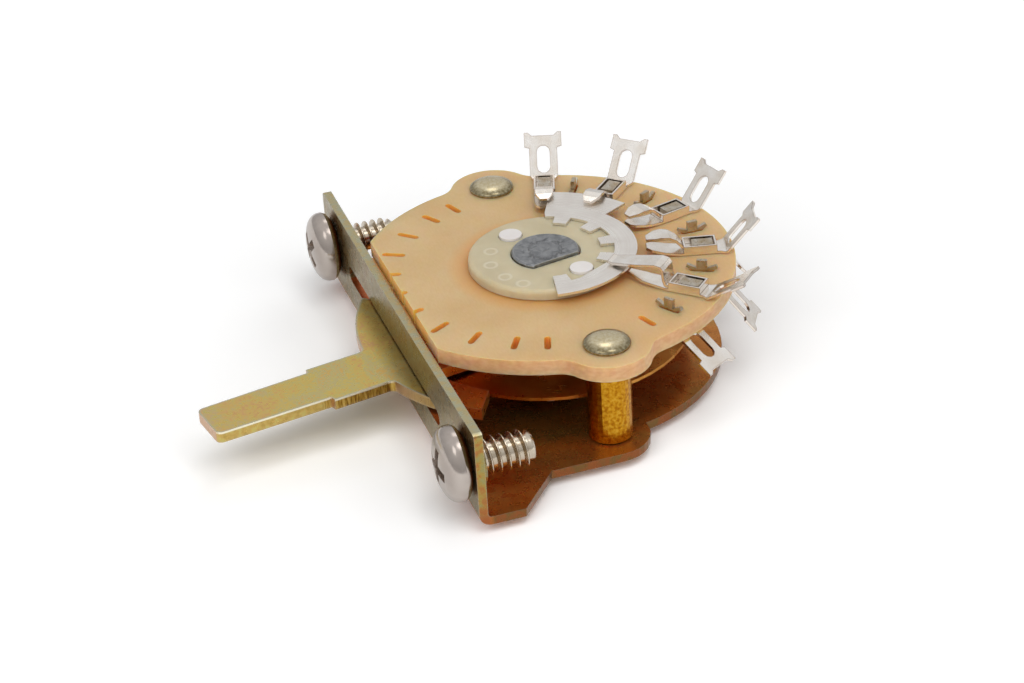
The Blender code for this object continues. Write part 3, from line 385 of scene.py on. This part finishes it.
def lever_side(look):
    """The lever's cut sides: dark shear marks near the flange, smoother film on the blade, a pink tip."""
    marks = look.clear(look.noise(0.14 * MM, stretch=(1.0, 1.0, 0.12)))
    sheared = look.tones(marks, colour(120, 84, 24), colour(180, 142, 58), colour(206, 172, 90))
    speckle = look.clear(look.noise(0.5 * MM, detail=4.0))
    film = look.tones(speckle, colour(188, 158, 84), colour(204, 172, 96), colour(204, 186, 108))
    side = look.mix(look.past("Y", LEVER_STEP, 0.6 * MM), film, sheared)
    return look.mix(look.span(look.facing("Y"), -0.7, -0.95), side, colour(206, 166, 130))


def lever_look():
    """Brass-gold film with a pink and olive speckle, a painted dark reflection of the flange in front of
    it, a painted orange reflection of the wafer behind it and a painted highlight on one edge.
    """
    gold = (colour(212, 168, 110), colour(216, 184, 100), colour(208, 188, 108), colour(198, 186, 130),
            colour(216, 178, 100))
    look, tint = chromate("chromate_lever", gold, roughness=0.3, patch=3 * MM, grain=0.3 * MM)
    towards_tip = look.past("Y", LEVER_TIP + 10 * MM, -12 * MM, most=0.5)
    pink = look.times(towards_tip, look.clear(look.noise(0.6 * MM), spread=0.1))
    tint = look.mix(pink, tint, colour(216, 168, 130))
    side = look.span(look.level(), *UPRIGHT)
    tint = look.mix(side, tint, lever_side(look))

    uneven = look.span(look.noise(1.5 * MM), 0.3, 0.5, 0.7, 1.0)
    shaded = look.times(look.past("Y", FLANGE_FACE - 2.45 * MM, 2 * MM, most=0.6), uneven)
    tint = look.mix(shaded, tint, colour(134, 112, 56))
    # Behind the flange the lever is painted copper-orange: a painted reflection of the wafer's tan
    # underside.
    behind = look.past("Y", FLANGE_FACE + 0.55 * MM, 1.6 * MM)
    cloud = look.clear(look.noise(2 * MM, detail=4.0), spread=0.1)
    wafer_reflection = look.tones(cloud, colour(250, 160, 62), colour(232, 160, 70))
    tint = look.mix(behind, tint, wafer_reflection)

    bare = look.maths("SUBTRACT", 0.9, look.times(look.maths("MAXIMUM", behind, side), 0.7))
    tint = look.mix(look.times(look.near_edge(0.5 * MM), bare), tint, colour(186, 194, 188))
    # Painted highlight: a near-white line along the blade's top edge that faces +X, up to the neck.
    by_top = look.past("Z", LEVER_TOP - 0.22 * MM, 0.08 * MM)
    painted_highlight = look.times(by_top, look.span(look.facing("X"), 0.5, 0.8))
    painted_highlight = look.times(painted_highlight, look.past("Y", LEVER_NECK, -0.8 * MM, most=0.95))
    look.paint(look.mix(painted_highlight, tint, colour(255, 250, 226)))
    return look.material


def wafer_look():
    """Tan paper laminate, waxy, with painted orange glow and shade round the rotor, near the terminals and
    inside its slots.
    """
    look = Look("paper_laminate", roughness=0.5)
    cloud = look.noise(6 * MM, detail=4.0)
    fibre = look.noise(0.5 * MM, stretch=(1.0, 3.0, 1.0))
    blend = look.maths("ADD", look.times(cloud, 0.7), look.times(fibre, 0.3))
    face = look.tones(look.clear(blend), colour(200, 166, 116), colour(210, 180, 134))
    far = look.far_from()
    # Painted light: orange bounce glow and contact shade on the wafer round the rotor's edge.
    painted_glow_by_rotor = look.span(far, ROTOR_EDGE + 2.1 * MM, ROTOR_EDGE, 0.0, 0.85)
    face = look.mix(painted_glow_by_rotor, face, colour(214, 146, 78))
    # Painted light: blotchy orange glow on the wafer inwards of its edge on the +Y side, where the
    # terminals are.
    inward = look.span(far, WAFER_EDGE - 0.7 * MM, WAFER_EDGE - 3.2 * MM, 0.0, 0.4)
    painted_glow_by_terminals = look.times(look.past("Y", 0, 6 * MM), inward)
    painted_glow_by_terminals = look.times(painted_glow_by_terminals, look.span(cloud, 0.35, 0.55))
    face = look.mix(painted_glow_by_terminals, face, colour(210, 154, 96))

    layers = look.noise(0.7 * MM, detail=4.0, stretch=(1.0, 1.0, 2.0))
    rim = look.tones(look.clear(layers), colour(200, 157, 112), colour(211, 175, 130))
    # Painted light: the slot walls are painted orange for the glow of light through the thin laminate, in
    # place of the cut edge's own tone.
    in_slots = look.span(far, WAFER_EDGE - 1.3 * MM, WAFER_EDGE - 1.7 * MM)
    side = look.mix(in_slots, rim, colour(226, 164, 84))
    look.paint(look.mix(look.span(look.level(), 0.75, 0.35), face, side))
    look.bump(look.maths("ADD", fibre, look.times(layers, 0.6)), 0.012 * MM, strength=0.4)
    look.soften(0.7, 3.6 * MM, 1.5 * MM, 0.5 * MM)
    return look.material


def pin_look():
    """White nylon, a little uneven."""
    look = Look("pin_nylon", roughness=0.45)
    look.paint(look.tones(look.clear(look.noise(2.5 * MM)), colour(220, 214, 211), colour(226, 221, 218)))
    look.bump(look.noise(0.2 * MM, detail=2.0), 0.006 * MM)
    look.soften(0.1, 1.2 * MM, 0.9 * MM, 0.6 * MM)
    return look.material


def rotor_look():
    """Milky nylon with the faint, paler rings that mould pins leave."""
    look = Look("rotor_nylon", roughness=0.4)
    tint = look.tones(look.clear(look.noise(2.5 * MM)), colour(191, 178, 146), colour(201, 189, 158))
    rings = 0.0
    for x, y in MOULD_MARKS:
        off_ring = look.maths("ABSOLUTE", look.maths("SUBTRACT", look.far_from(x, y), MOULD_MARK_RADIUS))
        rings = look.maths("MAXIMUM", rings, look.span(off_ring, *MOULD_MARK_WIDTH))
    look.paint(look.mix(look.times(rings, 0.45), tint, colour(222, 214, 194)))
    look.bump(rings, 0.03 * MM, strength=0.6)
    look.soften(0.8, 1.2 * MM, 0.9 * MM, 0.6 * MM)
    return look.material


def metal_look(name, low, high, roughness, patch, grain, rim=None):
    """Plain or plated metal with a slow change of tint, a fine grain and, where asked, tarnished rims."""
    look = Look(name, roughness, metallic=1.0)
    tint = look.tones(look.clear(look.noise(patch, detail=4.0), spread=0.2), low, high)
    if rim:
        tint = look.mix(look.times(look.near_edge(0.14 * MM), 0.8), tint, rim)
    look.paint(tint)
    look.roughen(look.noise(patch / 3), roughness * 0.85, roughness * 1.15)
    look.bump(look.noise(0.1 * MM, detail=2.0), grain)
    return look.material


def screw_look():
    """Nickel plate, with a painted brown reflection of the flange on the cone under the head."""
    look = Look("nickel_screw", roughness=0.2, metallic=1.0)
    cloud = look.clear(look.noise(2 * MM, detail=4.0), spread=0.2)
    tint = look.tones(cloud, colour(172, 161, 153), colour(192, 182, 174))
    below_rim = look.past("Z", -HEAD_RIM + 0.08 * MM, -0.1 * MM)
    above_shank = look.past("Z", -HEAD_RIM - HEAD_CONE - 0.05 * MM, 0.1 * MM)
    # Painted reflection: the cone is painted brown, as it mirrors the flange next to it.
    look.paint(look.mix(look.times(below_rim, above_shank), tint, colour(160, 108, 70)))
    look.roughen(look.noise(0.6 * MM), 0.16, 0.24)
    look.bump(look.noise(0.3 * MM), 0.004 * MM)
    return look.material


def rivet_look():
    """Worn nickel over brass: a pitted olive border round a brighter crown."""
    look = Look("nickel_rivet", roughness=0.24, metallic=1.0)
    pits = look.noise(0.25 * MM, detail=4.0)
    crown = look.tones(look.clear(pits, spread=0.2), colour(204, 188, 148), colour(220, 208, 178))
    border = look.tones(look.clear(pits), colour(126, 112, 80), colour(172, 162, 134))
    look.paint(look.mix(look.span(look.far_from(), 1.3 * MM, 1.85 * MM), crown, border))
    look.roughen(pits, 0.14, 0.26)
    look.bump(pits, 0.008 * MM)
    return look.material


def ring_look():
    """Silver plate with the fine circular marks that the jaws leave."""
    look = Look("silver_ring", roughness=0.32, metallic=1.0)
    cloud = look.clear(look.noise(2 * MM, detail=4.0))
    tint = look.tones(cloud, colour(238, 232, 226), colour(248, 244, 238))
    node = look.new("TexNoise")
    node.noise_dimensions = "1D"
    node.inputs["Scale"].default_value = 1 / (0.25 * MM)
    look.feed(node.inputs["W"], look.far_from())
    tracks = node.outputs["Fac"]
    look.paint(look.mix(look.times(look.clear(tracks, spread=0.2), 0.35), tint, colour(222, 214, 206)))
    look.roughen(tracks, 0.26, 0.4)
    look.bump(tracks, 0.004 * MM, strength=0.4)
    return look.material


def zinc_look():
    """Grey cast metal, lumpy, with a painted highlight along its edge, its top dished inside a faint ragged
    outline.
    """
    look = Look("cast_zinc", roughness=0.4, metallic=0.9)
    lumps = look.noise(0.7 * MM, detail=4.0, distortion=0.8)
    cast = look.tones(look.clear(lumps, spread=0.2), colour(112, 114, 117), colour(158, 159, 161))
    ragged = look.maths("ADD", look.far_from(), look.times(lumps, 2.2 * MM))
    border = look.span(ragged, 2.5 * MM, 2.9 * MM)
    off_outline = look.maths("ABSOLUTE", look.maths("SUBTRACT", border, 0.5))
    cast = look.mix(look.span(off_outline, 0.45, 0.2, 0.0, 0.22), cast, colour(66, 67, 70))
    # Painted highlight: near-white along the edges.
    look.paint(look.mix(look.times(look.near_edge(0.2 * MM), 0.8), cast, colour(206, 207, 208)))
    look.bump(look.maths("ADD", border, look.times(lumps, 0.8)), 0.2 * MM, strength=0.8)
    return look.material


def brass_look():
    """Brass tube with a granular, lumpy skin and dark brown blotches that grow towards its lower end."""
    look = Look("brass_tube", roughness=0.24, metallic=1.0)
    grit = look.noise(0.3 * MM, detail=4.0)
    bright = look.tones(look.clear(grit), colour(166, 104, 18), colour(194, 136, 28), colour(208, 158, 48))
    blotch = look.span(look.noise(0.5 * MM, detail=4.0), 0.56, 0.66)
    low_end = look.span(look.axis("Z"), SPACER_FOOT + 2.7 * MM, SPACER_FOOT, 0.15, 0.8)
    look.paint(look.mix(look.times(blotch, low_end), bright, colour(120, 68, 20)))
    look.bump(grit, 0.012 * MM, strength=0.6)
    return look.material


def looks():
    """A material for each kind of surface."""
    return {
        "frame": frame_look(),
        "lever": lever_look(),
        "wafer": wafer_look(),
        "nylon": rotor_look(),
        "pin": pin_look(),
        "ring": ring_look(),
        "silver": metal_look("silver_plate", colour(238, 228, 216), colour(250, 246, 241),
                             roughness=0.2, patch=1.5 * MM, grain=0.004 * MM, rim=colour(144, 110, 80)),
        "staple": metal_look("tinned_staple", colour(172, 152, 120), colour(204, 198, 188),
                             roughness=0.3, patch=0.8 * MM, grain=0.01 * MM),
        "nickel": screw_look(),
        "thread": metal_look("nickel_thread", colour(186, 170, 148), colour(214, 204, 188),
                             roughness=0.24, patch=1 * MM, grain=0.004 * MM),
        "rivet": rivet_look(),
        "disc": metal_look("bronzed_disc", colour(198, 138, 62), colour(214, 160, 84),
                           roughness=0.3, patch=4 * MM, grain=0.003 * MM),
        "steel": metal_look("ball_steel", colour(190, 190, 190), colour(214, 214, 214),
                            roughness=0.15, patch=2 * MM, grain=0.002 * MM),
        "zinc": zinc_look(),
        "brass": brass_look(),
    }


# The look that each kind of piece gets
LOOK_OF = {
    "frame": "frame", "lever": "lever", "wafer": "wafer", "shaft": "zinc", "index_disc": "disc",
    "retaining_clip": "steel", "detent_ball": "steel", "rotor_pin": "pin", "rotor": "nylon",
    "contact_ring": "ring", "terminal": "silver", "staple": "staple", "rivet": "rivet", "spacer": "brass",
    "mounting_screw": "nickel",
}

# Width of the rounded edges that each kind of piece gets
EDGE_OF = {
    "frame": 0.16 * MM, "lever": 0.24 * MM, "wafer": 0.14 * MM, "rotor": 0.1 * MM, "rotor_pin": 0.08 * MM,
    "contact_ring": 0.04 * MM, "terminal": 0.03 * MM, "staple": 0.04 * MM, "shaft": 0.1 * MM,
    "retaining_clip": 0.04 * MM,
}


def kind_of(name):
    """The longest known kind that the node's name starts with."""
    return max((kind for kind in LOOK_OF if name.startswith(kind)), key=len)


def smooth(mesh, angle=SMOOTH_ANGLE):
    mesh.shade_smooth()
    mesh.set_sharp_from_angle(angle=angle)


def round_edges(obj, width):
    bevel = obj.modifiers.new("rounded edges", "BEVEL")
    bevel.width = width
    bevel.segments = BEVEL_SEGMENTS
    bevel.limit_method = "ANGLE"
    bevel.angle_limit = BEVEL_ANGLE
    bevel.harden_normals = True
    bevel.use_clamp_overlap = True


def dress_nodes(materials):
    for name, node in NODES.items():
        kind = kind_of(name)
        node.data.materials.clear()
        node.data.materials.append(materials[LOOK_OF[kind]])
        smooth(node.data)
        if kind in EDGE_OF:
            round_edges(node, EDGE_OF[kind])


def add(name, data):
    """A new object in the scene."""
    obj = bpy.data.objects.new(name, data)
    bpy.context.scene.collection.objects.link(obj)
    return obj


def finished(edit, mesh):
    """The mesh, filled from what was edited, with its faces turned outwards."""
    bmesh.ops.recalc_face_normals(edit, faces=edit.faces)
    edit.to_mesh(mesh)
    edit.free()
    return mesh


def turned(name, profile):
    """A solid of revolution round Z from (radius, z) points, from top to bottom."""
    edit = bmesh.new()
    rows = []
    for radius, z in profile:
        if radius == 0:
            rows.append([edit.verts.new((0, 0, z))])
            continue
        ring = []
        for i in range(ROUND_STEPS):
            turn = 2 * math.pi * i / ROUND_STEPS
            ring.append(edit.verts.new((radius * math.cos(turn), radius * math.sin(turn), z)))
        rows.append(ring)
    for above, below in zip(rows, rows[1:]):
        for i in range(ROUND_STEPS):
            j = (i + 1) % ROUND_STEPS
            if len(above) == 1:
                edit.faces.new((above[0], below[i], below[j]))
            elif len(below) == 1:
                edit.faces.new((above[i], below[0], above[j]))
            else:
                edit.faces.new((above[i], below[i], below[j], above[j]))
    return finished(edit, bpy.data.meshes.new(name))


def thread_mesh(name, top, bottom):
    """A screw thread from top down to bottom along Z, as one ribbon whose rows follow the helix."""
    turns = math.ceil((top - bottom) / THREAD_PITCH) + 2
    edit = bmesh.new()
    columns = []
    for i in range(THREAD_STEPS * turns + 1):
        angle = 2 * math.pi * i / THREAD_STEPS
        column = []
        for share, radius in THREAD_PROFILE:
            raw = top + THREAD_PITCH * (1 - i / THREAD_STEPS - share)
            z = min(max(raw, bottom), top)
            radius = min(radius, THREAD_ROOT + (z - bottom) * THREAD_TAPER)
            column.append(edit.verts.new((radius * math.cos(angle), -radius * math.sin(angle), z)))
        columns.append(column)
    for here, following in zip(columns, columns[1:]):
        for k in range(len(THREAD_PROFILE) - 1):
            edit.faces.new((here[k], here[k + 1], following[k + 1], following[k]))
    # Each turn's lower row meets the next turn's upper row
    for i in range(len(columns) - 1 - THREAD_STEPS):
        j = i + THREAD_STEPS
        edit.faces.new((columns[i][-1], columns[j][0], columns[j + 1][0], columns[i + 1][-1]))
    bmesh.ops.remove_doubles(edit, verts=edit.verts, dist=SAME_PLACE)
    bmesh.ops.dissolve_degenerate(edit, edges=edit.edges, dist=SAME_PLACE)
    return finished(edit, bpy.data.meshes.new(name))


def block(name, corners_low, corners_high):
    """A tapered block from four lower and four upper corners, each counted anticlockwise."""
    mesh = bpy.data.meshes.new(name)
    faces = [(3, 2, 1, 0), (4, 5, 6, 7)]
    faces += [(i, (i + 1) % 4, (i + 1) % 4 + 4, i + 4) for i in range(4)]
    mesh.from_pydata(corners_low + corners_high, [], faces)
    return mesh


def cut(mesh, tools):
    """The mesh with the tool meshes cut out of it."""
    guide = add(mesh.name, mesh)
    cutters = []
    for number, tool in enumerate(tools):
        cutter = add(f"cutter_{number}", tool)
        cutters.append(cutter)
        step = guide.modifiers.new("cut", "BOOLEAN")
        step.operation = "DIFFERENCE"
        step.object = cutter
    graph = bpy.context.evaluated_depsgraph_get()
    result = bpy.data.meshes.new_from_object(guide.evaluated_get(graph))
    for obj in [guide] + cutters:
        bpy.data.objects.remove(obj, do_unlink=True)
    return result


def recess_tools(turned_by):
    """Two crossed, tapered blades."""
    ends = ((HEAD_DOME - RECESS_DEPTH, RECESS_FLOOR), (RECESS_MOUTH_HEIGHT, RECESS_MOUTH))
    tools = []
    for turn in (turned_by, turned_by + 90 * DEG):
        rotation = Matrix.Rotation(turn, 3, "Z")
        corners = []
        for z, (span_share, width_share) in ends:
            x = RECESS_SPAN / 2 * span_share
            y = RECESS_WIDTH / 2 * width_share
            corners.append([rotation @ Vector(p) for p in ((-x, -y, z), (x, -y, z), (x, y, z), (-x, y, z))])
        tools.append(block("recess", *corners))
    return tools


def dome(radius, rise, base, fullness):
    """Profile of a dome from its top down to its edge."""
    points = [(0, base + rise)]
    for step in range(1, DOME_STEPS + 1):
        turn = step / DOME_STEPS * math.pi / 2
        out = radius * math.sin(turn) ** fullness
        points.append((out, base + rise * max(math.cos(turn), 0) ** fullness))
    return points


def screw_head_and_core(name, length, turned_by):
    """A domed head with a cross recess, the cone under it and the thread's core."""
    under = -HEAD_RIM - HEAD_CONE
    core = THREAD_ROOT - CORE_GAP
    profile = dome(HEAD_RADIUS, HEAD_DOME, 0, HEAD_FULLNESS)
    profile += [
        (HEAD_RADIUS, -HEAD_EDGE), (HEAD_RADIUS - HEAD_RIM_INSET, -HEAD_RIM),
        (HEAD_RADIUS - HEAD_CONE_INSET, under), (HEAD_NECK, under), (core, under),
        (core, -length + CORE_TAPER_LENGTH), (core * CORE_END_SHARE, -length), (0, -length),
    ]
    return cut(turned(name, profile), recess_tools(turned_by))


def screw_piece(name, node, materials, turned_by):
    """A pan-head screw with a rolled thread, its head towards -Y."""
    low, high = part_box(node)
    length = high.y - low.y - HEAD_DOME
    screw = add(name, screw_head_and_core(name, length, turned_by))
    screw.data.materials.clear()
    screw.data.materials.append(materials["nickel"])
    smooth(screw.data, HEAD_SMOOTH_ANGLE)
    thread = thread_mesh(name + "_thread", -HEAD_RIM - HEAD_CONE + THREAD_START, -length + THREAD_END)
    thread.materials.append(materials["thread"])
    smooth(thread, THREAD_SMOOTH_ANGLE)
    ribbon = add(name + "_thread", thread)
    middle = (low + high) / 2
    place = Matrix.Translation((middle.x, low.y + HEAD_DOME, middle.z)) @ Matrix.Rotation(90 * DEG, 4, "X")
    for obj in (screw, ribbon):
        obj.matrix_world = place
        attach(obj, "frame")
    round_edges(screw, HEAD_ROUNDING)
    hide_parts(node)


def rivet_piece(name, node, materials):
    """A rivet with a smooth domed head."""
    low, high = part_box(node)
    head_low = WAFER_TOP + RIVET_GAP
    edge = head_low + RIVET_RIM
    radius = (high.x - low.x) / 2
    profile = dome(radius, high.z - edge, edge, 1.0)
    profile += [
        (radius, head_low), (RIVET_RADIUS, head_low), (RIVET_RADIUS, RIVET_TAIL_HEIGHT),
        (RIVET_TAIL_RADIUS, RIVET_TAIL_HEIGHT), (RIVET_FOOT_RADIUS, RIVET_FOOT_HEIGHT),
        (RIVET_RADIUS, 0), (0, 0),
    ]
    mesh = turned(name, profile)
    mesh.materials.append(materials["rivet"])
    smooth(mesh)
    rivet = add(name, mesh)
    rivet.matrix_world = Matrix.Translation(((low.x + high.x) / 2, (low.y + high.y) / 2, 0))
    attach(rivet, "frame")
    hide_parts(node)


def softbox(name, azimuth, elevation, size, share, mirrored=False):
    """A square lamp aimed at the part. The share is what it adds on level ground, where 1 is white.

    Metal reflects the lamp itself only where mirrored is true.
    """
    light = bpy.data.lights.new(name, "AREA")
    light.size = size
    light.energy = share * (math.pi * LAMP_DISTANCE) ** 2 / math.sin(elevation)
    lamp = add(name, light)
    lamp.visible_glossy = mirrored
    level = math.cos(elevation)
    away = Vector((math.cos(azimuth) * level, math.sin(azimuth) * level, math.sin(elevation)))
    lamp.location = away * LAMP_DISTANCE
    lamp.rotation_euler = (LAMP_TARGET - lamp.location).to_track_quat("-Z", "Y").to_euler()


def light_scene():
    """Soft light from above and all round, and three smaller lamps that shine in the metal."""
    softbox("key", 0, 62 * DEG, size=0.3, share=0.27)
    softbox("front", -52 * DEG, 38 * DEG, size=0.4, share=0.27)
    softbox("right", 30 * DEG, 35 * DEG, size=0.4, share=0.12)
    softbox("back", 120 * DEG, 35 * DEG, size=0.4, share=0.1)
    softbox("glint", -55 * DEG, 58 * DEG, size=0.2, share=0.04, mirrored=True)
    softbox("overhead", 40 * DEG, 75 * DEG, size=0.16, share=0.06, mirrored=True)
    softbox("rear glint", 163 * DEG, 59 * DEG, size=0.13, share=0.02, mirrored=True)


def set_world():
    """White for the camera and dim fill light for the rest.

    Reflections see a tent that is grey at the horizon and paler above.
    """
    world = bpy.data.worlds.new("tent")
    bpy.context.scene.world = world
    world.use_nodes = True
    nodes = Nodes(world.node_tree)
    height = nodes.part_along(nodes.new("TexCoord").outputs["Generated"], "Z")
    tent = nodes.tones(height, grey(TENT_LOW), grey(TENT_HIGH))
    unseen = nodes.mix(nodes.ray("Glossy"), grey(FILL_LIGHT), tent)
    seen = nodes.mix(nodes.ray("Camera"), unseen, grey(1.0))
    nodes.feed(nodes.tree.nodes["Background"].inputs["Color"], seen)


def ground_material():
    """White that keeps the shadow. The camera and metal see it glow as well, more so away from the part."""
    material = bpy.data.materials.new("white_ground")
    material.use_nodes = True
    nodes = Nodes(material.node_tree)
    nodes.tree.nodes.clear()
    for_camera = nodes.ray("Camera")
    diffuse = nodes.new("BsdfDiffuse")
    white = nodes.mix(for_camera, grey(GROUND_WHITE), grey(GROUND_WHITE_FOR_CAMERA))
    nodes.feed(diffuse.inputs["Color"], white)
    far = nodes.new("VectorMath")
    far.operation = "LENGTH"
    nodes.feed(far.inputs[0], nodes.new("TexCoord").outputs["Object"])
    glow = nodes.new("Emission")
    nodes.feed(glow.inputs["Strength"], nodes.span(far.outputs["Value"], *GLOW_REACH, *GLOW_LEVELS))
    glowing = nodes.new("AddShader")
    nodes.feed(glowing.inputs[0], diffuse.outputs[0])
    nodes.feed(glowing.inputs[1], glow.outputs[0])
    chosen = nodes.new("MixShader")
    nodes.feed(chosen.inputs[0], nodes.maths("MAXIMUM", for_camera, nodes.ray("Glossy")))
    nodes.feed(chosen.inputs[1], diffuse.outputs[0])
    nodes.feed(chosen.inputs[2], glowing.outputs[0])
    nodes.feed(nodes.new("OutputMaterial").inputs["Surface"], chosen.outputs[0])
    return material


def lay_floor():
    """The white ground that the switch lies on."""
    near, far = -GROUND_HALF, GROUND_HALF
    mesh = bpy.data.meshes.new("ground")
    mesh.from_pydata([(near, near, 0), (far, near, 0), (far, far, 0), (near, far, 0)], [], [(0, 1, 2, 3)])
    mesh.materials.append(ground_material())
    add("ground", mesh)


def set_camera():
    data = bpy.data.cameras.new("camera")
    data.sensor_width = CAMERA_SENSOR
    data.lens = CAMERA_LENS
    data.clip_start = CAMERA_NEAR
    camera = add("camera", data)
    bpy.context.scene.camera = camera
    level = math.cos(CAMERA_ELEVATION)
    back = Vector((math.sin(CAMERA_AZIMUTH) * level, -math.cos(CAMERA_AZIMUTH) * level,
                   math.sin(CAMERA_ELEVATION)))
    flat_right = Vector((0, 0, 1)).cross(back).normalized()
    flat_up = back.cross(flat_right)
    right = math.cos(CAMERA_ROLL) * flat_right + math.sin(CAMERA_ROLL) * flat_up
    matrix = Matrix((right, back.cross(right), back)).transposed().to_4x4()
    matrix.translation = CAMERA_TARGET + back * CAMERA_DISTANCE
    camera.matrix_world = matrix


materials = looks()
dress_nodes(materials)
for side, turned_by in RECESS_TURN.items():
    screw_piece(f"screw_{side}", f"mounting_screw_{side}", materials, turned_by)
    rivet_piece(f"rivet_piece_{side}", f"rivet_{side}", materials)
light_scene()
set_world()
lay_floor()
set_camera()
bpy.context.scene.view_settings.view_transform = "Standard"
